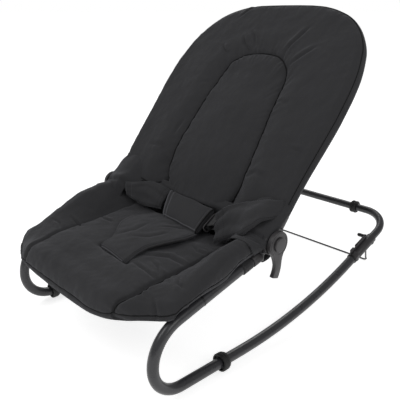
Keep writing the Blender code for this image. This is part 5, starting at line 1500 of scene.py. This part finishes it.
def make_wings():
    """Belt wings: a padded surface between four drawn edges, gathered at the strap's end"""
    rows, columns = 90, 70
    u = np.linspace(0, 1, rows)[:, None, None]
    v = np.linspace(0, 1, columns)[None, :, None]
    for name, sign in SIDES.items():
        low, top = (line_through(WINGS[name][k], rows) for k in ("low", "top"))
        inner, outer = (line_through(WINGS[name][k], columns) for k in ("inner", "outer"))
        grid = (1 - v) * low[:, None] + v * top[:, None] + (1 - u) * inner[None] \
            + u * outer[None] - ((1 - u) * (1 - v) * low[0] + (1 - u) * v * top[0]
                                 + u * (1 - v) * low[-1] + u * v * top[-1])
        bulge = np.sin(math.pi * u[..., 0])
        grid[..., 2] += 0.006 * bulge * np.sin(math.pi * v[..., 0])
        grid = grid * (sign, 1, 1) - (0, ORIGIN_Y, 0)
        seed = 11 if sign > 0 else 15
        gathers = np.sin(v[..., 0] * 15 + 4.0 * clouds(grid, 15, seed))
        gathers = gathers * (0.0014 * (1 - u[..., 0]) ** 1.5 + 0.0002)
        gathers = gathers + uneven(grid, (0.003, 24, seed + 1)) * bulge
        gathers = gathers + uneven(grid, (0.001, 70, seed + 2))
        grid = grid + grid_normals(grid) * gathers[..., None]
        made, face = padded_strip("waist_belt_" + name + "_cloth", grid, 0.008)
        bend_with_back(made)
        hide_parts("waist_belt_" + name)
        trim = [cord("wing_binding", line, 0.0015, "cover_fabric", sides=10)
                for line in (grid[:, 0], grid[:, -1])]
        trim.append(stitches("wing_stitches",
                             [face[:, 4], face[:, -5], face[5, 4:-4], face[12, 4:-4]]))
        if sign < 0:
            trim.append(cord("wing_end_binding", grid[-1], 0.0015, "cover_fabric", sides=10))
            # Lighter stitches at the wing's end: painted highlight
            trim.append(stitches("wing_end_stitches", [face[-5, 4:-4], face[-17, 4:-4]],
                                 finish="edge_tape"))
        bend_with_back(merge("waist_belt_" + name + "_trim", trim))


# ---------------------------------------------------------------- straps, loops and front bow

def strap_frame():
    """Ways along, across and through the strap"""
    square = STRAP_DIR.cross(STRAP_WIDE).normalized()
    return STRAP_DIR, square.cross(STRAP_DIR).normalized(), square


def webbing_piece(name, line):
    """Woven tape along (along, through) points of the strap's own frame"""
    along, across, square = strap_frame()
    path = [at(*ROLL_END) + along * a + square * t for a, t in line]
    section = ((-1, -0.5), (-0.97, -1), (0.97, -1), (1, -0.5), (1, 0.5), (0.97, 1),
               (-0.97, 1), (-1, 0.5))
    verts, uv = [], []
    run = 0.0
    for i, p in enumerate(path):
        before = path[max(i - 1, 0)]
        run += (p - before).length
        heading = (path[min(i + 1, len(line) - 1)] - before).normalized()
        up = heading.cross(across).normalized()
        for w, t in section:
            verts.append(p + across * (w * TAPE_WIDE / 2) + up * (t * TAPE_T / 2))
            uv.append((w * TAPE_WIDE / 2, run))
    return piece(name, verts, tube_faces(len(line), 8), "strap_webbing", uv=uv, sharp=50)


def round_bar(place, level):
    """Tape that turns round a bar, from above to below"""
    return [(place + TAPE_T / 2 * math.sin(a), level * math.cos(a))
            for a in np.linspace(0, math.pi, 10)]


def webbing_line(top_end, under_end, turn, level):
    """Tape that comes in over the top, turns in a slot and goes back below"""
    return [(top_end, level), (top_end * 0.5 + turn * 0.5, level)] \
        + round_bar(turn - 0.0022, level) \
        + [(under_end * 0.5 + turn * 0.5, -level), (under_end, -level)]


def make_straps():
    """The strap between tongue and wing, the buckle's loop and the loops on the seat tubes"""
    start = BUCKLE_AT + BUCKLE_LONG + GAP
    level = BUCKLE_T / 2 + GAP + TAPE_T / 2
    strap = webbing_piece("waist_strap_left_tape",
                          webbing_line(0.067, 0.056, start + 0.007, level))
    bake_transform(strap)
    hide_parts("waist_strap_left")
    loop = webbing_piece("buckle_loop_tape",
                         [(0.0004, 0.003), (0.0088, level)] + round_bar(0.012, level)
                         + [(0.0088, -level), (0.0004, -0.003)])
    dress(loop, "buckle_loop")
    half, bore = 0.01, RAIL_R + GAP
    outer = bore + 0.0014
    band = [(-half, bore), (-half, outer - 0.0004), (0.0004 - half, outer),
            (half - 0.0004, outer), (half, outer - 0.0004), (half, bore)]
    for name, sign in SIDES.items():
        made = lathe("cover_loop_" + name + "_tape", band, side(sign * HALF, riser_at(0.0975)),
                     flat_way(RISER_DIR), "strap_webbing", 56)
        box_uv(made)
        dress(made, "cover_loop_" + name)


def make_buckle_frame():
    """The rounded rim at the buckle's end that faces the belt wing, in the lighter hinge plastic
    as a painted highlight on its black plastic
    """
    _, across, square = strap_frame()
    centre = at(0.0806, 0.09, 0.1985)
    turns = [2 * math.pi * k / 48 for k in range(48)]
    path = [centre + across * (power(math.cos(a), 0.3) * 0.0185)
            + square * (power(math.sin(a), 0.55) * 0.0062) for a in turns]
    # Lighter hinge plastic in place of black: painted highlight on the rim
    dress(cord("buckle_rim", path, 0.0014, "hinge_plastic", looped=True, sides=12))


# ---------------------------------------------------------------- stage

# The photograph's camera: focal length on a 36 mm sensor, turn, tilt and place
LENS = 48.47
TURN, TILT = math.radians(47.246), math.radians(19.304)
CAMERA_AT = (0.7241, -0.71715, 0.5554)


def split_view(tree, ray, lit, seen, output):
    """One shader for the camera and one more kind of ray, another for all other light"""
    path = add(tree, "ShaderNodeLightPath")
    looked = combined(tree, "MAXIMUM", path.outputs["Is Camera Ray"], path.outputs[ray])
    mixed = add(tree, "ShaderNodeMixShader", {0: looked, 1: lit.outputs[0], 2: seen.outputs[0]})
    add(tree, output, {"Surface": mixed.outputs[0]})


def make_stage():
    """White floor and surroundings, soft studio lamps, the photograph's camera"""
    scene = bpy.context.scene
    scene.view_settings.view_transform = "Standard"
    floor_mat, tree = new_material("white floor")
    matte = add(tree, "ShaderNodeBsdfDiffuse", {"Color": (0.86, 0.86, 0.86, 1)})
    glow = add(tree, "ShaderNodeEmission", {"Color": (1, 1, 1, 1), "Strength": 0.72})
    both = add(tree, "ShaderNodeAddShader", {0: matte.outputs[0], 1: glow.outputs[0]})
    split_view(tree, "Is Glossy Ray", matte, both, "ShaderNodeOutputMaterial")
    bpy.ops.mesh.primitive_plane_add(size=400, location=(0, 0, -0.0002))
    floor = bpy.context.object
    floor.name = "studio_floor"
    floor.data.materials.append(floor_mat)
    world = bpy.data.worlds.new("studio")
    scene.world = world
    world.use_nodes = True
    tree = world.node_tree
    tree.nodes.clear()
    soft, white = [add(tree, "ShaderNodeBackground", {"Color": (1, 1, 1, 1), "Strength": light})
                   for light in (0.36, 1.0)]
    split_view(tree, "Is Transmission Ray", soft, white, "ShaderNodeOutputWorld")
    for name, place, size, energy in (("key", (-0.6, -2.2, 2.6), 1.5, 21),
                                      ("side", (2.6, -0.4, 1.9), 1.2, 13),
                                      ("rim", (-1.8, 2.2, 2.4), 1.4, 18)):
        light = bpy.data.lights.new(name, "AREA")
        light.shape = "SQUARE"
        light.size = size
        light.energy = energy
        lamp = linked("lamp_" + name, light)
        lamp.location = place
        aim = Vector((0, 0, 0.25)) - Vector(place)
        lamp.rotation_euler = aim.to_track_quat("-Z", "Y").to_euler()
    camera = bpy.data.cameras.new("camera")
    camera.sensor_fit = "HORIZONTAL"
    camera.sensor_width = 36
    camera.lens = LENS
    holder = linked("camera", camera)
    right = Vector((math.cos(TURN), math.sin(TURN), 0))
    back = Vector((math.sin(TURN) * math.cos(TILT), -math.cos(TURN) * math.cos(TILT),
                   math.sin(TILT)))
    turn = Matrix((right, back.cross(right), back)).transposed().to_4x4()
    turn.translation = CAMERA_AT
    holder.matrix_world = turn
    scene.camera = holder


# ---------------------------------------------------------------- operators and panel

class Step:
    """What the steps have in common"""
    bl_options = {"REGISTER", "UNDO"}


class BOUNCER_OT_finishes(Step, bpy.types.Operator):
    """Make the materials and geometry trees"""
    bl_idname = "bouncer.finishes"
    bl_label = "Finishes"

    def execute(self, context):
        prepare()
        return {"FINISHED"}


class BOUNCER_OT_tubes(Step, bpy.types.Operator):
    """Side tubes, seat tubes, rear tube and front bow"""
    bl_idname = "bouncer.tubes"
    bl_label = "Steel tubes"

    def execute(self, context):
        make_tubes()
        make_front_bow()
        return {"FINISHED"}


class BOUNCER_OT_rings(Step, bpy.types.Operator):
    """Rubber foot rings, bumper rings and the collars at the joints"""
    bl_idname = "bouncer.rings"
    bl_label = "Rings and collars"

    def execute(self, context):
        make_rings()
        return {"FINISHED"}


class BOUNCER_OT_rail_joints(Step, bpy.types.Operator):
    """Moulded joints with their screws and stand caps"""
    bl_idname = "bouncer.rail_joints"
    bl_label = "Rail joints"

    def execute(self, context):
        make_rail_joints()
        return {"FINISHED"}


class BOUNCER_OT_wire_stand(Step, bpy.types.Operator):
    """The wire that folds out behind"""
    bl_idname = "bouncer.wire_stand"
    bl_label = "Wire stand"

    def execute(self, context):
        make_stand()
        return {"FINISHED"}


class BOUNCER_OT_hinges(Step, bpy.types.Operator):
    """Housings, moving halves, release levers and caps"""
    bl_idname = "bouncer.hinges"
    bl_label = "Recline hinges"

    def execute(self, context):
        make_hinges()
        make_springs()
        return {"FINISHED"}


class BOUNCER_OT_hardware(Step, bpy.types.Operator):
    """Soft edges on the buckle and the small steel parts"""
    bl_idname = "bouncer.hardware"
    bl_label = "Small hardware"

    def execute(self, context):
        make_hardware()
        return {"FINISHED"}


class BOUNCER_OT_seat_cover(Step, bpy.types.Operator):
    """Padded seat with its side panels and seams"""
    bl_idname = "bouncer.seat_cover"
    bl_label = "Seat cover"

    def execute(self, context):
        make_seat_cover()
        return {"FINISHED"}


class BOUNCER_OT_back_cover(Step, bpy.types.Operator):
    """Padded back with its sewn oval, and the crease below it"""
    bl_idname = "bouncer.back_cover"
    bl_label = "Back cover"

    def execute(self, context):
        make_back_cover()
        make_crease()
        make_gussets()
        return {"FINISHED"}


class BOUNCER_OT_crotch_pad(Step, bpy.types.Operator):
    """The crotch pad and the tunnel at its upper end"""
    bl_idname = "bouncer.crotch_pad"
    bl_label = "Crotch pad and roll"

    def execute(self, context):
        make_crotch_pad()
        make_roll()
        return {"FINISHED"}


class BOUNCER_OT_waist_belt(Step, bpy.types.Operator):
    """Belt wings, webbing and the cover's loops"""
    bl_idname = "bouncer.waist_belt"
    bl_label = "Waist belt"

    def execute(self, context):
        make_wings()
        make_straps()
        make_buckle_frame()
        return {"FINISHED"}


class BOUNCER_OT_stage(Step, bpy.types.Operator):
    """Floor, lamps and camera"""
    bl_idname = "bouncer.stage"
    bl_label = "Studio"

    def execute(self, context):
        make_stage()
        return {"FINISHED"}


class BOUNCER_PT_parts(bpy.types.Panel):
    """The bouncer's pieces, in the order in which they are made"""
    bl_idname = "BOUNCER_PT_parts"
    bl_label = "Baby bouncer"
    bl_space_type = "VIEW_3D"
    bl_region_type = "UI"
    bl_category = "Bouncer"

    def draw(self, context):
        column = self.layout.column(align=True)
        for maker in MAKERS:
            column.operator(maker.bl_idname)
        for group in (context.scene.bouncer_sizes, context.scene.bouncer_colours):
            box = self.layout.box()
            for name in group.__annotations__:
                box.prop(group, name)


MAKERS = (BOUNCER_OT_finishes, BOUNCER_OT_tubes, BOUNCER_OT_rings, BOUNCER_OT_rail_joints,
          BOUNCER_OT_wire_stand, BOUNCER_OT_hinges, BOUNCER_OT_hardware, BOUNCER_OT_seat_cover,
          BOUNCER_OT_back_cover, BOUNCER_OT_crotch_pad, BOUNCER_OT_waist_belt, BOUNCER_OT_stage)
GROUPS = (BouncerSizes, BouncerColours)


def register():
    for kind in GROUPS + MAKERS + (BOUNCER_PT_parts,):
        bpy.utils.register_class(kind)
    bpy.types.Scene.bouncer_sizes = bpy.props.PointerProperty(type=BouncerSizes)
    bpy.types.Scene.bouncer_colours = bpy.props.PointerProperty(type=BouncerColours)


def unregister():
    del bpy.types.Scene.bouncer_colours
    del bpy.types.Scene.bouncer_sizes
    for kind in reversed(GROUPS + MAKERS + (BOUNCER_PT_parts,)):
        bpy.utils.unregister_class(kind)


def prepare():
    TREES.update({"tube": tube_tree(), "stitch": stitch_tree(), "shading": shading_tree()})
    make_finishes(bpy.context.scene)


def main():
    register()
    for maker in MAKERS:
        group, name = maker.bl_idname.split(".")
        getattr(getattr(bpy.ops, group), name)()


if __name__ == "__main__":
    main()
